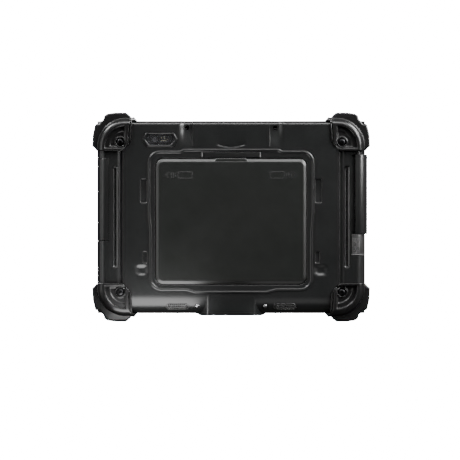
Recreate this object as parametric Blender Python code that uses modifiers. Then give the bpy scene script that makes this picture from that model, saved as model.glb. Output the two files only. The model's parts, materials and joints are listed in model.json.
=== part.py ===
"""A rugged field tablet (data collector), built as an assembly of its separate pieces.

The tablet stands upright in landscape on its two lower bumpers. +Z is up, the back faces -Y, the screen
faces +Y, and +X is on the right of someone who looks at the back. The origin is on the floor, under the
middle of the tablet. Every place below is in metres, written as millimetres times MM.
"""
import math

import bmesh
import bpy
from mathutils import Matrix, Vector

MM = 0.001

# Driving dimensions ------------------------------------------------------------------------------------
HALF_WIDTH = 139.25 * MM        # over the bumpers
HEIGHT = 209.7 * MM
HALF_DEPTH = 19.0 * MM
MID_Z = HEIGHT / 2

BODY_HALF_WIDTH = 134.35 * MM   # over the housing
BODY_LOW = 8.2 * MM
BODY_HIGH = 201.2 * MM
BACK = -16.5 * MM               # back face of the raised centre
WING_BACK = -14.6 * MM          # back face of the lowered side wings
FRONT = 16.5 * MM
CENTRE_HALF_WIDTH = 108.5 * MM  # the raised centre ends here
SEAM = 6.0 * MM                 # rim of the rear housing, where the bezel meets it

GAP = 0.3 * MM                  # clearance between neighbouring pieces
BEYOND = 10.0 * MM              # how far a cutter runs past the face that it opens

# Hollow inside the housing
HOLLOW_HALF_WIDTH = 121.2 * MM
HOLLOW_CORNER_HALF_WIDTH = 105.5 * MM
HOLLOW_LOW = 15.5 * MM
HOLLOW_BACK = -9.5 * MM
DEEP_HOLLOW_BACK = -13.9 * MM

# Core of the corners, which the bumpers wrap
CORE_HALF_WIDTH = 131.0 * MM
CORE_HALF_HEIGHT = 93.15 * MM
CORE_HALF_DEPTH = 12.5 * MM
SCREEN_HALF_WIDTH = 116.0 * MM  # the bumpers leave this much of the front free round the screen
SCREEN_HALF_HEIGHT = 87.7 * MM

# Battery and its bay
BATTERY_HALF_WIDTH = 75.7 * MM
BATTERY_LOW = 37.4 * MM
BATTERY_HIGH = 163.4 * MM
BATTERY_BACK = -17.6 * MM
BATTERY_FRONT = -4.2 * MM
BAY_FLOOR = BATTERY_FRONT + GAP
BAY_INSIDE = -2.1 * MM
LATCH_HALF_WIDTH = 29.85 * MM
LATCH_LOW = 164.3 * MM
LATCH_HIGH = 170.2 * MM

# Port doors on the sides
HINGE_Y = 2.6 * MM
BARREL_RADIUS = 1.9 * MM
PIN_RADIUS = 0.8 * MM
WING_ROUND = 9.0 * MM
DOOR_THICKNESS = 2.2 * MM
PORT_WALL = 124.0 * MM          # outer face of the wall that the sockets look through
WELL_BACK = -12.1 * MM
WELL_FRONT = 0.4 * MM
LEFT_DOOR = (81.3 * MM, 163.5 * MM)
RIGHT_DOOR = (87.8 * MM, 167.4 * MM)
SMALL_COVER = (66.9 * MM, 87.4 * MM)

# Rounded lower edge of the back
EDGE_DEPTH = 12.0 * MM
EDGE_HEIGHT = 19.0 * MM
SPEAKER_X = 53.8 * MM
SPEAKER_Z = 15.2 * MM
DOME_SCREW_X = 34.0 * MM
DOME_SCREW_Z = 15.5 * MM

SCREW_X = 111.0 * MM            # bumper screws
SCREW_RISE = 75.15 * MM         # their height above and below the middle

STRAP_X = 44.15 * MM             # strap anchors in the top edge
STRAP_Z = 194.2 * MM

KEY_X = -116.7 * MM

PARTS = bpy.data.collections.new("rugged_tablet")
CUTTERS = bpy.data.collections.new("cutters")


# Materials ---------------------------------------------------------------------------------------------
def material(name, colour, roughness, metallic=0.0):
    made = bpy.data.materials.new(name)
    made.use_nodes = True
    shader = made.node_tree.nodes["Principled BSDF"]
    shader.inputs["Base Color"].default_value = (*colour, 1.0)
    shader.inputs["Roughness"].default_value = roughness
    shader.inputs["Metallic"].default_value = metallic
    made.diffuse_color = (*colour, 1.0)
    return made


# Outlines ----------------------------------------------------------------------------------------------
def rounded(corners, steps=4):
    """Turn (a, b) or (a, b, radius) corners into an outline whose corners are arcs."""
    points = []
    count = len(corners)
    for i, corner in enumerate(corners):
        here = Vector(corner[:2])
        radius = corner[2] if len(corner) > 2 else 0.0
        if radius == 0.0:
            points.append(tuple(here))
            continue
        before = (Vector(corners[i - 1][:2]) - here).normalized()
        after = (Vector(corners[(i + 1) % count][:2]) - here).normalized()
        opening = before.angle(after)
        reach = radius / math.tan(opening / 2)
        centre = here + (before + after).normalized() * radius / math.sin(opening / 2)
        start = here + before * reach - centre
        turn = math.pi - opening
        if start.x * (here + after * reach - centre).y - start.y * (here + after * reach - centre).x < 0:
            turn = -turn
        for k in range(steps + 1):
            angle = turn * k / steps
            points.append((
                centre.x + start.x * math.cos(angle) - start.y * math.sin(angle),
                centre.y + start.x * math.sin(angle) + start.y * math.cos(angle),
            ))
    return points


def rectangle(low_a, high_a, low_b, high_b, radius=0.0, steps=4):
    return rounded([(low_a, low_b, radius), (high_a, low_b, radius),
                    (high_a, high_b, radius), (low_a, high_b, radius)], steps)


def circle(centre_a, centre_b, radius, steps=16):
    return [(centre_a + radius * math.cos(math.tau * k / steps),
             centre_b + radius * math.sin(math.tau * k / steps)) for k in range(steps)]


def grown(points, distance):
    """Offset a closed outline outwards by distance, or inwards where it is negative."""
    count = len(points)
    area = sum(points[i - 1][0] * points[i][1] - points[i][0] * points[i - 1][1] for i in range(count))
    side = 1.0 if area > 0 else -1.0
    moved = []
    for i in range(count):
        here = Vector(points[i])
        inward = (here - Vector(points[i - 1])).normalized()
        onward = (Vector(points[(i + 1) % count]) - here).normalized()
        normal = Vector((inward.y + onward.y, -inward.x - onward.x)).normalized()
        spread = max(0.5, normal.dot(Vector((onward.y, -onward.x))))
        moved.append(tuple(here + normal * (side * distance / spread)))
    return moved


def mirrored(points, side):
    return [(side * point[0], *point[1:]) for point in points]


def flipped(points, level):
    """The same outline above the middle height for level 1, or below it for level -1."""
    return [(point[0], MID_Z + level * (point[1] - MID_Z)) for point in points]


# Solids ------------------------------------------------------------------------------------------------
TURNS = {
    "X": Matrix(((0, 0, 1, 0), (1, 0, 0, 0), (0, 1, 0, 0), (0, 0, 0, 1))),
    "Y": Matrix(((1, 0, 0, 0), (0, 0, -1, 0), (0, 1, 0, 0), (0, 0, 0, 1))),
    "Z": Matrix.Identity(4),
}


def keep(name, mesh, look=None):
    """Put a mesh in the scene: as a part where it has a look, and as a cutter where it has none."""
    made = bpy.data.objects.new(name, mesh)
    if look is None:
        CUTTERS.objects.link(made)
        made.hide_render = True
        made.display_type = "WIRE"
    else:
        PARTS.objects.link(made)
        mesh.materials.clear()
        mesh.materials.append(look)
    return made


def plate(name, loops, low, high, along="Y", look=None):
    """Extrude a flat outline, with any holes after it in loops, from low to high along an axis.

    Outlines are (x, z) along Y, (x, y) along Z and (y, z) along X.
    """
    flat = bpy.data.curves.new(name + "_outline", "CURVE")
    flat.dimensions = "2D"
    flat.fill_mode = "BOTH"
    flat.extrude = (high - low) / 2
    for loop in loops:
        spline = flat.splines.new("POLY")
        spline.points.add(len(loop) - 1)
        spline.use_cyclic_u = True
        for point, (a, b) in zip(spline.points, loop):
            point.co = (a, b, 0.0, 1.0)
    holder = bpy.data.objects.new(name + "_outline", flat)
    bpy.context.scene.collection.objects.link(holder)
    bpy.context.view_layer.update()
    mesh = bpy.data.meshes.new_from_object(holder.evaluated_get(bpy.context.evaluated_depsgraph_get()))
    bpy.data.objects.remove(holder)
    bpy.data.curves.remove(flat)
    mesh.name = name
    middle = (low + high) / 2
    offset = {"X": (middle, 0, 0), "Y": (0, middle, 0), "Z": (0, 0, middle)}[along]
    mesh.transform(Matrix.Translation(offset) @ TURNS[along])
    soft = bmesh.new()
    soft.from_mesh(mesh)
    bmesh.ops.remove_doubles(soft, verts=soft.verts, dist=0.001 * MM)
    bmesh.ops.dissolve_limit(soft, angle_limit=math.radians(0.5), verts=soft.verts, edges=soft.edges)
    bmesh.ops.recalc_face_normals(soft, faces=soft.faces)
    soft.to_mesh(mesh)
    soft.free()
    return keep(name, mesh, look)


def box(name, x, y, z, look=None):
    """A box from (low, high) pairs along X, Y and Z."""
    size = Matrix.Diagonal((x[1] - x[0], y[1] - y[0], z[1] - z[0], 1.0))
    place = Matrix.Translation(((x[0] + x[1]) / 2, (y[0] + y[1]) / 2, (z[0] + z[1]) / 2))
    mesh = bpy.data.meshes.new(name)
    shape = bmesh.new()
    bmesh.ops.create_cube(shape, size=1.0, matrix=place @ size)
    shape.to_mesh(mesh)
    shape.free()
    return keep(name, mesh, look)


def rod(name, radius, low, high, along="Y", at=(0.0, 0.0), look=None, steps=16):
    """A round rod whose centre line is at (x, z) along Y, (x, y) along Z or (y, z) along X."""
    return plate(name, [circle(at[0], at[1], radius, steps)], low, high, along, look)


def turned(name, profile, place, turn, look=None, steps=16):
    """Turn a (radius, height) profile, listed from its top to its foot, about its own Z axis."""
    mesh = bpy.data.meshes.new(name)
    mesh.from_pydata([(radius, 0.0, height) for radius, height in profile],
                     [(i, i + 1) for i in range(len(profile) - 1)], [])
    made = keep(name, mesh, look)
    made.location = place
    made.rotation_euler = turn
    screw = made.modifiers.new("turn", "SCREW")
    screw.steps = steps
    screw.render_steps = steps
    screw.use_merge_vertices = True
    screw.merge_threshold = 0.01 * MM
    screw.use_smooth_shade = True
    return made


def combine(target, tool, operation):
    change = target.modifiers.new(tool.name, "BOOLEAN")
    change.operation = operation
    change.solver = "EXACT"
    change.object = tool
    return target


def cut(target, *tools):
    for tool in tools:
        combine(target, tool, "DIFFERENCE")
    return target


def unite(target, *tools):
    for tool in tools:
        combine(target, tool, "UNION")
    return target


def within(target, *tools):
    for tool in tools:
        combine(target, tool, "INTERSECT")
    return target


def hinge_at(target, point):
    """Move a part's origin to a point, without moving the part."""
    target.data.transform(Matrix.Translation(-Vector(point)))
    target.location = point
    return target


# Shared shapes of the body -----------------------------------------------------------------------------
def side_outline(steps=8):
    """The body's section in (y, z): a broad quarter ellipse below the back, and small rounds elsewhere."""
    corners = []
    for k in range(steps + 1):
        angle = math.pi / 2 * k / steps
        corners.append((BACK + EDGE_DEPTH - EDGE_DEPTH * math.cos(angle),
                        BODY_LOW + EDGE_HEIGHT - EDGE_HEIGHT * math.sin(angle)))
    corners += [(FRONT, BODY_LOW, 3.5 * MM), (FRONT, BODY_HIGH, 3.5 * MM), (BACK, BODY_HIGH, 4.5 * MM)]
    return rounded(corners)


def face_outline():
    """The body's outline in (x, z). Its round corners hide inside the bumpers."""
    half_width = BODY_HALF_WIDTH + MM
    return rectangle(-half_width, half_width, BODY_LOW - MM, BODY_HIGH + MM, 16.0 * MM)


def edge_point(height):
    """Where the rounded lower edge is at this height, and how far its normal tips down from -Y."""
    sine = (BODY_LOW + EDGE_HEIGHT - height) / EDGE_HEIGHT
    cosine = math.sqrt(1.0 - sine * sine)
    depth = BACK + EDGE_DEPTH - EDGE_DEPTH * cosine
    return depth, math.atan2(sine / EDGE_HEIGHT, cosine / EDGE_DEPTH)


def bumper_outline():
    """The upper right bumper in (x, z): two raised pads with a notched diagonal between them."""
    wide, high = HALF_WIDTH, HEIGHT
    inner = 99.0 * MM
    arm_end = 171.2 * MM
    return rounded([
        (inner, BODY_HIGH + GAP),
        (wide - 45.0 * MM, BODY_HIGH + GAP),
        (wide - 41.9 * MM, high - 4.3 * MM),
        (wide - 39.7 * MM, high - 5.3 * MM),
        (wide - 36.6 * MM, high - 1.9 * MM),
        (wide - 33.8 * MM, high),
        (wide - 23.0 * MM, high),
        (wide - 15.1 * MM, high - 1.2 * MM),
        (wide - 12.2 * MM, high - 3.1 * MM),
        (wide - 11.3 * MM, high - 6.7 * MM),
        (wide - 8.9 * MM, high - 9.1 * MM),
        (wide - 7.0 * MM, high - 11.7 * MM),
        (wide - 4.6 * MM, high - 11.2 * MM),
        (wide - 2.9 * MM, high - 12.4 * MM),
        (wide - 0.5 * MM, high - 22.5 * MM),
        (wide, high - 33.9 * MM),
        (wide - 2.2 * MM, high - 35.6 * MM),
        (BODY_HALF_WIDTH + GAP, arm_end),
        (108.8 * MM, arm_end, 3.0 * MM),
        (100.4 * MM, 180.0 * MM, 8.0 * MM),
    ])


def door_outline(seam, bulge, steps=5):
    """A right-hand port door in (x, y): a shell round the wing's edge that ends in its hinge barrel."""
    outer = BODY_HALF_WIDTH + bulge
    inner = BODY_HALF_WIDTH - DOOR_THICKNESS
    axis = BODY_HALF_WIDTH - BARREL_RADIUS
    shoulder = HINGE_Y - 4.0 * MM
    points = rounded([(seam, WING_BACK), (outer, WING_BACK, WING_ROUND), (outer, shoulder)], steps)[:-1]
    if bulge > 0:
        points += [(outer, shoulder), (BODY_HALF_WIDTH, HINGE_Y - 1.4 * MM)]
    for k in range(10):
        angle = math.radians(-8 + 268 * k / 9)
        points.append((axis + BARREL_RADIUS * math.cos(angle), HINGE_Y + BARREL_RADIUS * math.sin(angle)))
    inner_back = WING_BACK + DOOR_THICKNESS
    points += rounded([(inner, HINGE_Y - 3.0 * MM), (inner, inner_back, WING_ROUND - DOOR_THICKNESS),
                       (seam, inner_back)], steps)
    return points


def hinge_axis(side):
    return side * (BODY_HALF_WIDTH - BARREL_RADIUS)


def bead_outline():
    """Centre line of the raised bead round the battery bay, in (x, z)."""
    right = [(36.0 * MM, 29.7 * MM), (45.0 * MM, 32.3 * MM), (80.4 * MM, 32.3 * MM, 11.0 * MM),
             (80.4 * MM, 90.0 * MM, 30.0 * MM), (82.0 * MM, 109.0 * MM, 30.0 * MM),
             (82.0 * MM, 170.0 * MM, 11.0 * MM), (50.5 * MM, 170.0 * MM), (47.0 * MM, 171.9 * MM)]
    left = mirrored(right, -1)
    return rounded(right + left[::-1])


# Housing -----------------------------------------------------------------------------------------------
def rear_plan():
    return rounded([
        (BODY_HALF_WIDTH, SEAM), (BODY_HALF_WIDTH, WING_BACK, WING_ROUND),
        (CENTRE_HALF_WIDTH + 0.8 * MM, WING_BACK), (CENTRE_HALF_WIDTH, BACK),
        (-CENTRE_HALF_WIDTH, BACK), (-CENTRE_HALF_WIDTH - 0.8 * MM, WING_BACK),
        (-BODY_HALF_WIDTH, WING_BACK, WING_ROUND), (-BODY_HALF_WIDTH, SEAM),
    ], 6)


def cross_outline(half_width, corner_half_width, low, corner_height):
    """A plus-shaped outline that leaves the four corners solid, in (x, z)."""
    high = 2 * MID_Z - low
    right = [(corner_half_width, low), (corner_half_width, low + corner_height),
             (half_width, low + corner_height), (half_width, high - corner_height),
             (corner_half_width, high - corner_height), (corner_half_width, high)]
    return right + mirrored(right, -1)[::-1]


def screen_block(name, clearance):
    """The raised front round the screen, which the bumpers stop short of."""
    half_width = SCREEN_HALF_WIDTH + clearance
    half_height = SCREEN_HALF_HEIGHT + clearance
    y = (CORE_HALF_DEPTH - MM - clearance, HALF_DEPTH + 2 * BEYOND)
    return box(name + "_screen", (-half_width, half_width), y, (MID_Z - half_height, MID_Z + half_height))


def bumper_seat(side, level):
    """What a bumper takes out of the body: its own shape with clearance, round the core."""
    name = f"seat_{side}_{level}"
    outline = grown(flipped(mirrored(bumper_outline(), side), level), GAP)
    seat = plate(name, [outline], -HALF_DEPTH - BEYOND, HALF_DEPTH + BEYOND)
    core = box(name + "_core", (-CORE_HALF_WIDTH, CORE_HALF_WIDTH), (-CORE_HALF_DEPTH, CORE_HALF_DEPTH),
               (MID_Z - CORE_HALF_HEIGHT, MID_Z + CORE_HALF_HEIGHT))
    return cut(seat, core, screen_block(name, 0.0))


def port_recess(name, side, span, seam):
    """The recess that a port door closes: its own shape with clearance, and room to turn a quarter turn."""
    height = (span[0] - GAP, span[1] + GAP)
    outline = mirrored(grown(door_outline(seam, 3.0 * MM), GAP), side)
    recess = plate(name, [outline], *height, "Z")
    room_x = sorted((hinge_axis(side), side * (BODY_HALF_WIDTH + 3.0 * MM)))
    room_y = (HINGE_Y - 3.0 * MM, HINGE_Y + BARREL_RADIUS + 2 * GAP)
    return unite(recess, box(name + "_turning_room", room_x, room_y, height))


def port_well(name, side, low, high):
    x = sorted((side * PORT_WALL, side * (BODY_HALF_WIDTH + BEYOND)))
    return box(name, x, (WELL_BACK, WELL_FRONT), (low, high))


def seal_loops(grow):
    outer = rectangle(-124.6 * MM, 124.6 * MM, 12.6 * MM, 2 * MID_Z - 12.6 * MM)
    return [grown(outer, grow), grown(outer, -1.4 * MM - grow)]


def edge_tool(name, outline, place, out, back, look=None):
    """A plate on the rounded lower edge at (x, z), between two heights out along its normal."""
    depth, tip = edge_point(place[1])
    tool = plate(name, [outline], -out, -back, look=look)
    tool.location = (place[0], depth, place[1])
    tool.rotation_euler = (tip, 0.0, 0.0)
    return tool


def dock_bulge():
    """The flat-backed foot of the housing that holds the dock connector."""
    low = 6.2 * MM
    face = plate("dock_bulge", [rounded([(-34.7 * MM, 28.0 * MM), (-34.7 * MM, BODY_LOW), (-31.0 * MM, low),
                                         (31.0 * MM, low), (34.7 * MM, BODY_LOW), (34.7 * MM, 28.0 * MM)])],
                 BACK, 4.0 * MM)
    plan = plate("dock_bulge_plan", [rounded([(-34.7 * MM, -4.0 * MM), (-23.7 * MM, BACK, 1.5 * MM),
                                              (23.7 * MM, BACK, 1.5 * MM), (34.7 * MM, -4.0 * MM),
                                              (34.7 * MM, 5.0 * MM), (-34.7 * MM, 5.0 * MM)])],
                 0.0, 30.0 * MM, "Z")
    return within(face, plan)


def hollow(name, half_width, low, back):
    """A block of the space inside the housing, the same above and below the middle, open at the front."""
    return box(name, (-half_width, half_width), (back, SEAM + BEYOND), (low, 2 * MID_Z - low))


def rear_housing(look):
    body = plate("rear_housing", [rear_plan()], 0.0, HEIGHT, "Z", look)
    within(body, plate("body_section", [side_outline()], -0.2, 0.2, "X"))
    within(body, plate("body_face", [face_outline()], -0.1, 0.1))
    unite(body, dock_bulge())

    # The hollow, and the tub of the battery bay that stands in it
    cut(body, hollow("tall_hollow", HOLLOW_CORNER_HALF_WIDTH, HOLLOW_LOW, HOLLOW_BACK))
    cut(body, hollow("wide_hollow", HOLLOW_HALF_WIDTH, HOLLOW_LOW + 19.5 * MM, HOLLOW_BACK + 0.1 * MM))
    cut(body, hollow("tall_deep_hollow", 95.5 * MM, 30.0 * MM, DEEP_HOLLOW_BACK))
    cut(body, hollow("wide_deep_hollow", 104.5 * MM, 42.0 * MM, DEEP_HOLLOW_BACK + 0.1 * MM))
    wall = 2.3 * MM
    tub_half_width = BATTERY_HALF_WIDTH + GAP + wall
    unite(body, box("tub", (-tub_half_width, tub_half_width), (BACK + MM, BAY_INSIDE),
                    (BATTERY_LOW - GAP - wall, LATCH_HIGH + GAP + wall)))
    unite(body, plate("bead", [grown(bead_outline(), 1.2 * MM), grown(bead_outline(), -1.2 * MM)],
                      BACK - 1.0 * MM, BACK + 0.4 * MM))
    bay_half_width = BATTERY_HALF_WIDTH + GAP
    bay = rectangle(-bay_half_width, bay_half_width, BATTERY_LOW - GAP, BATTERY_HIGH + GAP, 5.3 * MM)
    cut(body, plate("bay", [bay], BACK - BEYOND, BAY_FLOOR))
    pocket_half_width = LATCH_HALF_WIDTH + GAP
    cut(body, box("latch_pocket", (-pocket_half_width, pocket_half_width), (BACK - BEYOND, -9.3 * MM),
                  (BATTERY_HIGH - MM, LATCH_HIGH + GAP)))
    cut(body, box("bay_connector_hole", (-20.3 * MM, 20.3 * MM), (-8.0 * MM, 3.0 * MM),
                  (43.7 * MM, 51.3 * MM)))
    housing_sides(body)
    for side in (-1, 1):
        housing_face(body, side)
    camera = rectangle(-89.35 * MM, -53.25 * MM, 174.5 * MM, 189.5 * MM, 6.0 * MM, 3)
    cut(body, plate("camera_pocket", [camera], BACK - BEYOND, BACK + 1.9 * MM))
    cut(body, box("camera_hole", (-84.0 * MM, -58.0 * MM), (BACK, HOLLOW_BACK + MM),
                  (178.0 * MM, 186.4 * MM)))
    cut(body, box("dock_hole", (-18.0 * MM, 18.0 * MM), (-9.0 * MM, -1.0 * MM), (0.0, HOLLOW_LOW + MM)))
    cut(body, plate("seal_groove", seal_loops(GAP), SEAM - 1.1 * MM, SEAM + BEYOND))
    return body


def housing_sides(body):
    """The bumpers' seats, the recesses of the port doors, and what opens behind the doors."""
    for side in (-1, 1):
        for level in (-1, 1):
            cut(body, bumper_seat(side, level))
            cut(body, rod(f"boss_hole_{side}_{level}", 1.8 * MM, -BEYOND * 1.4, -4.2 * MM,
                          at=(side * SCREW_X, MID_Z + level * SCREW_RISE), steps=12))
    cut(body, port_recess("left_recess", -1, LEFT_DOOR, 122.5 * MM))
    cut(body, port_recess("right_recess", 1, (SMALL_COVER[0], RIGHT_DOOR[1]), 120.55 * MM))
    cut(body, port_well("left_well", -1, 84.5 * MM, 160.4 * MM))
    cut(body, port_well("right_well", 1, 91.0 * MM, 164.2 * MM))
    cut(body, port_well("small_well", 1, 70.1 * MM, 84.4 * MM))
    for name, side, low, high in (("left_pin_hole", -1, *LEFT_DOOR),
                                  ("right_pin_hole", 1, SMALL_COVER[0], RIGHT_DOOR[1])):
        cut(body, rod(name, PIN_RADIUS + GAP, low - 2.2 * MM, high + 2.2 * MM, "Z",
                      (hinge_axis(side), HINGE_Y), steps=12))
    for name, (side, low, high) in socket_places().items():
        x = sorted((side * (HOLLOW_HALF_WIDTH - MM), side * (PORT_WALL + MM)))
        cut(body, box(name + "_window", x, (SOCKET_BLOCK[0] - GAP, SOCKET_BLOCK[1] + GAP),
                      (low - GAP, high + GAP)))


def housing_face(body, side):
    """What is cut into the back and the rounded lower edge, on one side of the middle."""
    groove = rectangle(112.6 * MM, 119.0 * MM, 53.4 * MM, 155.9 * MM, 3.15 * MM)
    cut(body, plate(f"grip_groove_{side}", [mirrored(groove, side)], BACK - BEYOND, WING_BACK + 2.2 * MM))
    cut(body, rod(f"strap_hole_{side}", 2.4 * MM, BACK - BEYOND, -7.8 * MM, at=(side * STRAP_X, STRAP_Z)))
    channel = [(BACK - MM, 174.0 * MM), (BACK + 0.1 * MM, 175.0 * MM), (BACK + 1.4 * MM, 191.0 * MM),
               (BACK + 1.4 * MM, 198.5 * MM), (BACK - MM, 198.5 * MM)]
    cut(body, plate(f"strap_channel_{side}", [channel], *sorted((side * 38.5 * MM, side * 48.0 * MM)), "X"))
    upper_catch = rectangle(84.0 * MM, 90.7 * MM, 118.9 * MM, 143.0 * MM, 1.5 * MM, 2)
    lower_catch = rectangle(84.0 * MM, 88.5 * MM, 58.6 * MM, 70.5 * MM, 1.5 * MM, 2)
    for label, catch in (("upper", upper_catch), ("lower", lower_catch)):
        cut(body, plate(f"{label}_catch_{side}", [mirrored(catch, side)], BACK - BEYOND, BACK + 1.3 * MM))

    speaker_pocket = rectangle(-11.6 * MM, 11.6 * MM, -3.7 * MM, 3.7 * MM, 3.6 * MM)
    sound_port = rectangle(-9.0 * MM, 9.0 * MM, -2.2 * MM, 2.2 * MM, 2.0 * MM, 2)
    speaker = (side * SPEAKER_X, SPEAKER_Z)
    dome = (side * DOME_SCREW_X, DOME_SCREW_Z)
    cut(body, edge_tool(f"speaker_pocket_{side}", speaker_pocket, speaker, 5.0 * MM, -1.9 * MM))
    cut(body, edge_tool(f"sound_port_{side}", sound_port, speaker, 1.0 * MM, -8.0 * MM))
    cut(body, edge_tool(f"dome_seat_{side}", circle(0.0, 0.0, 2.6 * MM), dome, 4.0 * MM, -0.8 * MM))
    cut(body, edge_tool(f"dome_hole_{side}", circle(0.0, 0.0, 1.3 * MM, 10), dome, 1.0 * MM, -3.2 * MM))


def front_bezel(look):
    proud = FRONT + 0.5 * MM
    plan = rounded([(BODY_HALF_WIDTH, SEAM + GAP), (BODY_HALF_WIDTH, proud, 4.0 * MM),
                    (-BODY_HALF_WIDTH, proud, 4.0 * MM), (-BODY_HALF_WIDTH, SEAM + GAP)])
    bezel = plate("front_bezel", [plan], 0.0, HEIGHT, "Z", look)
    within(bezel, bpy.data.objects["body_section"], bpy.data.objects["body_face"])
    cut(bezel, box("bezel_hollow", (-HOLLOW_HALF_WIDTH, HOLLOW_HALF_WIDTH), (0.0, 11.4 * MM),
                   (HOLLOW_LOW, HEIGHT - HOLLOW_LOW)))
    cut(bezel, plate("glass_pocket", [rectangle(-112.3 * MM, 112.3 * MM, MID_Z - 85.8 * MM, MID_Z + 85.8 * MM,
                                                3.3 * MM)], 12.6 * MM, FRONT + BEYOND))
    cut(bezel, plate("view_hole", [rectangle(-106.5 * MM, 106.5 * MM, MID_Z - 80.2 * MM, MID_Z + 80.2 * MM,
                                             1.0 * MM)], 5.0 * MM, FRONT + BEYOND))
    for name, z in KEYS.items():
        cut(bezel, plate(name + "_hole", [grown(key_outline(z), GAP)], 5.0 * MM, FRONT + BEYOND))
    for side in (-1, 1):
        for level in (-1, 1):
            cut(bezel, bpy.data.objects[f"seat_{side}_{level}"])
    cut(bezel, plate("bezel_seal_groove", seal_loops(GAP), 0.0, SEAM + 1.3 * MM))
    return bezel


def perimeter_seal(look):
    return plate("perimeter_seal", seal_loops(0.0), SEAM - 0.8 * MM, SEAM + 1.0 * MM, look=look)


# Corners -----------------------------------------------------------------------------------------------
def corner_bumper(name, side, level, look):
    outline = flipped(mirrored(bumper_outline(), side), level)
    bumper = plate(name, [outline], -HALF_DEPTH, HALF_DEPTH, look=look)
    plan = rectangle(-HALF_WIDTH, HALF_WIDTH, -HALF_DEPTH, HALF_DEPTH, 6.5 * MM)
    round_plan = plate(name + "_plan", [plan], -BEYOND, HEIGHT + BEYOND, "Z")
    round_side = plate(name + "_side", [rectangle(-HALF_DEPTH, HALF_DEPTH, 0.0, HEIGHT, 4.5 * MM)],
                       -0.2, 0.2, "X")
    within(bumper, round_plan, round_side)
    wall = CORE_HALF_DEPTH + GAP
    core = box(name + "_core", (-CORE_HALF_WIDTH - GAP, CORE_HALF_WIDTH + GAP), (-wall, wall),
               (MID_Z - CORE_HALF_HEIGHT - GAP, MID_Z + CORE_HALF_HEIGHT + GAP))
    recess = rounded([(106.0 * MM, 174.4 * MM, 2.0 * MM), (126.6 * MM, 174.4 * MM),
                      (126.6 * MM, 196.3 * MM, 19.5 * MM), (106.0 * MM, 196.3 * MM)], 6)
    recess = flipped(mirrored(recess, side), level)
    screw_at = (side * SCREW_X, MID_Z + level * SCREW_RISE)
    return cut(bumper, core, screen_block(name, GAP),
               plate(name + "_recess", [recess], -HALF_DEPTH - BEYOND, -15.2 * MM),
               rod(name + "_counterbore", 3.6 * MM, -HALF_DEPTH - BEYOND, -14.1 * MM, at=screw_at),
               rod(name + "_hole", 1.8 * MM, -HALF_DEPTH, -CORE_HALF_DEPTH, at=screw_at, steps=12))


def cap_screw(name, place, turn, head, socket, shank, length, look):
    """A screw whose head stands on its own origin: head is (radius, height), socket (radius, depth)."""
    radius, height = head
    profile = [(0.0, height - socket[1]), (socket[0], height - socket[1]), (socket[0], height),
               (radius * 0.85, height), (radius, height * 0.7), (radius, 0.0), (shank, 0.0), (shank, -length),
               (0.0, -length)]
    return turned(name, profile, place, turn, look)


# Battery and latch -------------------------------------------------------------------------------------
def battery_pack(look):
    outline = rectangle(-BATTERY_HALF_WIDTH, BATTERY_HALF_WIDTH, BATTERY_LOW, BATTERY_HIGH, 5.0 * MM)
    slope_start = BATTERY_BACK + 1.3 * MM
    pack = plate("battery_pack", [outline], slope_start, BATTERY_FRONT, look=look)
    shape = bmesh.new()
    shape.from_mesh(pack.data)
    back_face = [face for face in shape.faces if face.normal.y < -0.9]
    bmesh.ops.inset_region(shape, faces=back_face, thickness=3.2 * MM, depth=1.3 * MM)
    shape.to_mesh(pack.data)
    shape.free()
    tab = plate("battery_tab", [[(-17.2 * MM, 160.2 * MM), (17.2 * MM, 160.2 * MM), (14.0 * MM, 163.9 * MM),
                                 (-14.0 * MM, 163.9 * MM)]], BATTERY_BACK, BATTERY_BACK + 4.0 * MM)
    return unite(pack, tab)


def battery_latch(look):
    outline = rectangle(-LATCH_HALF_WIDTH, LATCH_HALF_WIDTH, LATCH_LOW, LATCH_HIGH, 0.8 * MM, 2)
    latch = plate("battery_latch", [outline], BACK + 0.2 * MM, -12.4 * MM, look=look)
    return hinge_at(latch, (0.0, BACK, (LATCH_LOW + LATCH_HIGH) / 2))


def latch_spring(look):
    """A bowed leaf between the latch bar and the floor of its pocket, in (x, y)."""
    half, thickness = 20.0 * MM, 0.4 * MM
    low, rise = -10.1 * MM, 1.8 * MM
    bow = []
    for k in range(9):
        share = -1 + k / 4
        bow.append((half * share, low - rise * (1 - share * share)))
    strip = bow + [(x, y + thickness) for x, y in reversed(bow)]
    return plate("latch_spring", [strip], 165.5 * MM, 169.0 * MM, "Z", look)


# Port doors --------------------------------------------------------------------------------------------
def port_door(name, side, span, seam, bulge, plug, look):
    """A door with its plug: span is its own (low, high) height, and plug that of the block inside it."""
    outline = mirrored(door_outline(seam, bulge), side)
    bore = mirrored(circle(hinge_axis(1), HINGE_Y, PIN_RADIUS + GAP, 12), side)
    door = plate(name, [outline, bore], *span, "Z", look)
    x = sorted((side * 128.7 * MM, side * 132.6 * MM))
    unite(door, box(name + "_plug", x, (-10.6 * MM, -0.6 * MM), plug))
    return hinge_at(door, (hinge_axis(side), HINGE_Y, sum(span) / 2))


def door_seal(name, side, plug, look):
    ring = rectangle(-11.0 * MM, -0.7 * MM, *plug, 1.5 * MM, 2)
    x = sorted((side * 126.7 * MM, side * 128.4 * MM))
    seal = plate(name, [ring, grown(ring, -1.3 * MM)], *x, "X", look)
    return hinge_at(seal, (hinge_axis(side), HINGE_Y, sum(plug) / 2))


# Each socket stands in a moulded block, and a stack of blocks fills one window in the port wall
SOCKET_BLOCK = (-9.1 * MM, -0.1 * MM)    # low and high along Y
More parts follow.
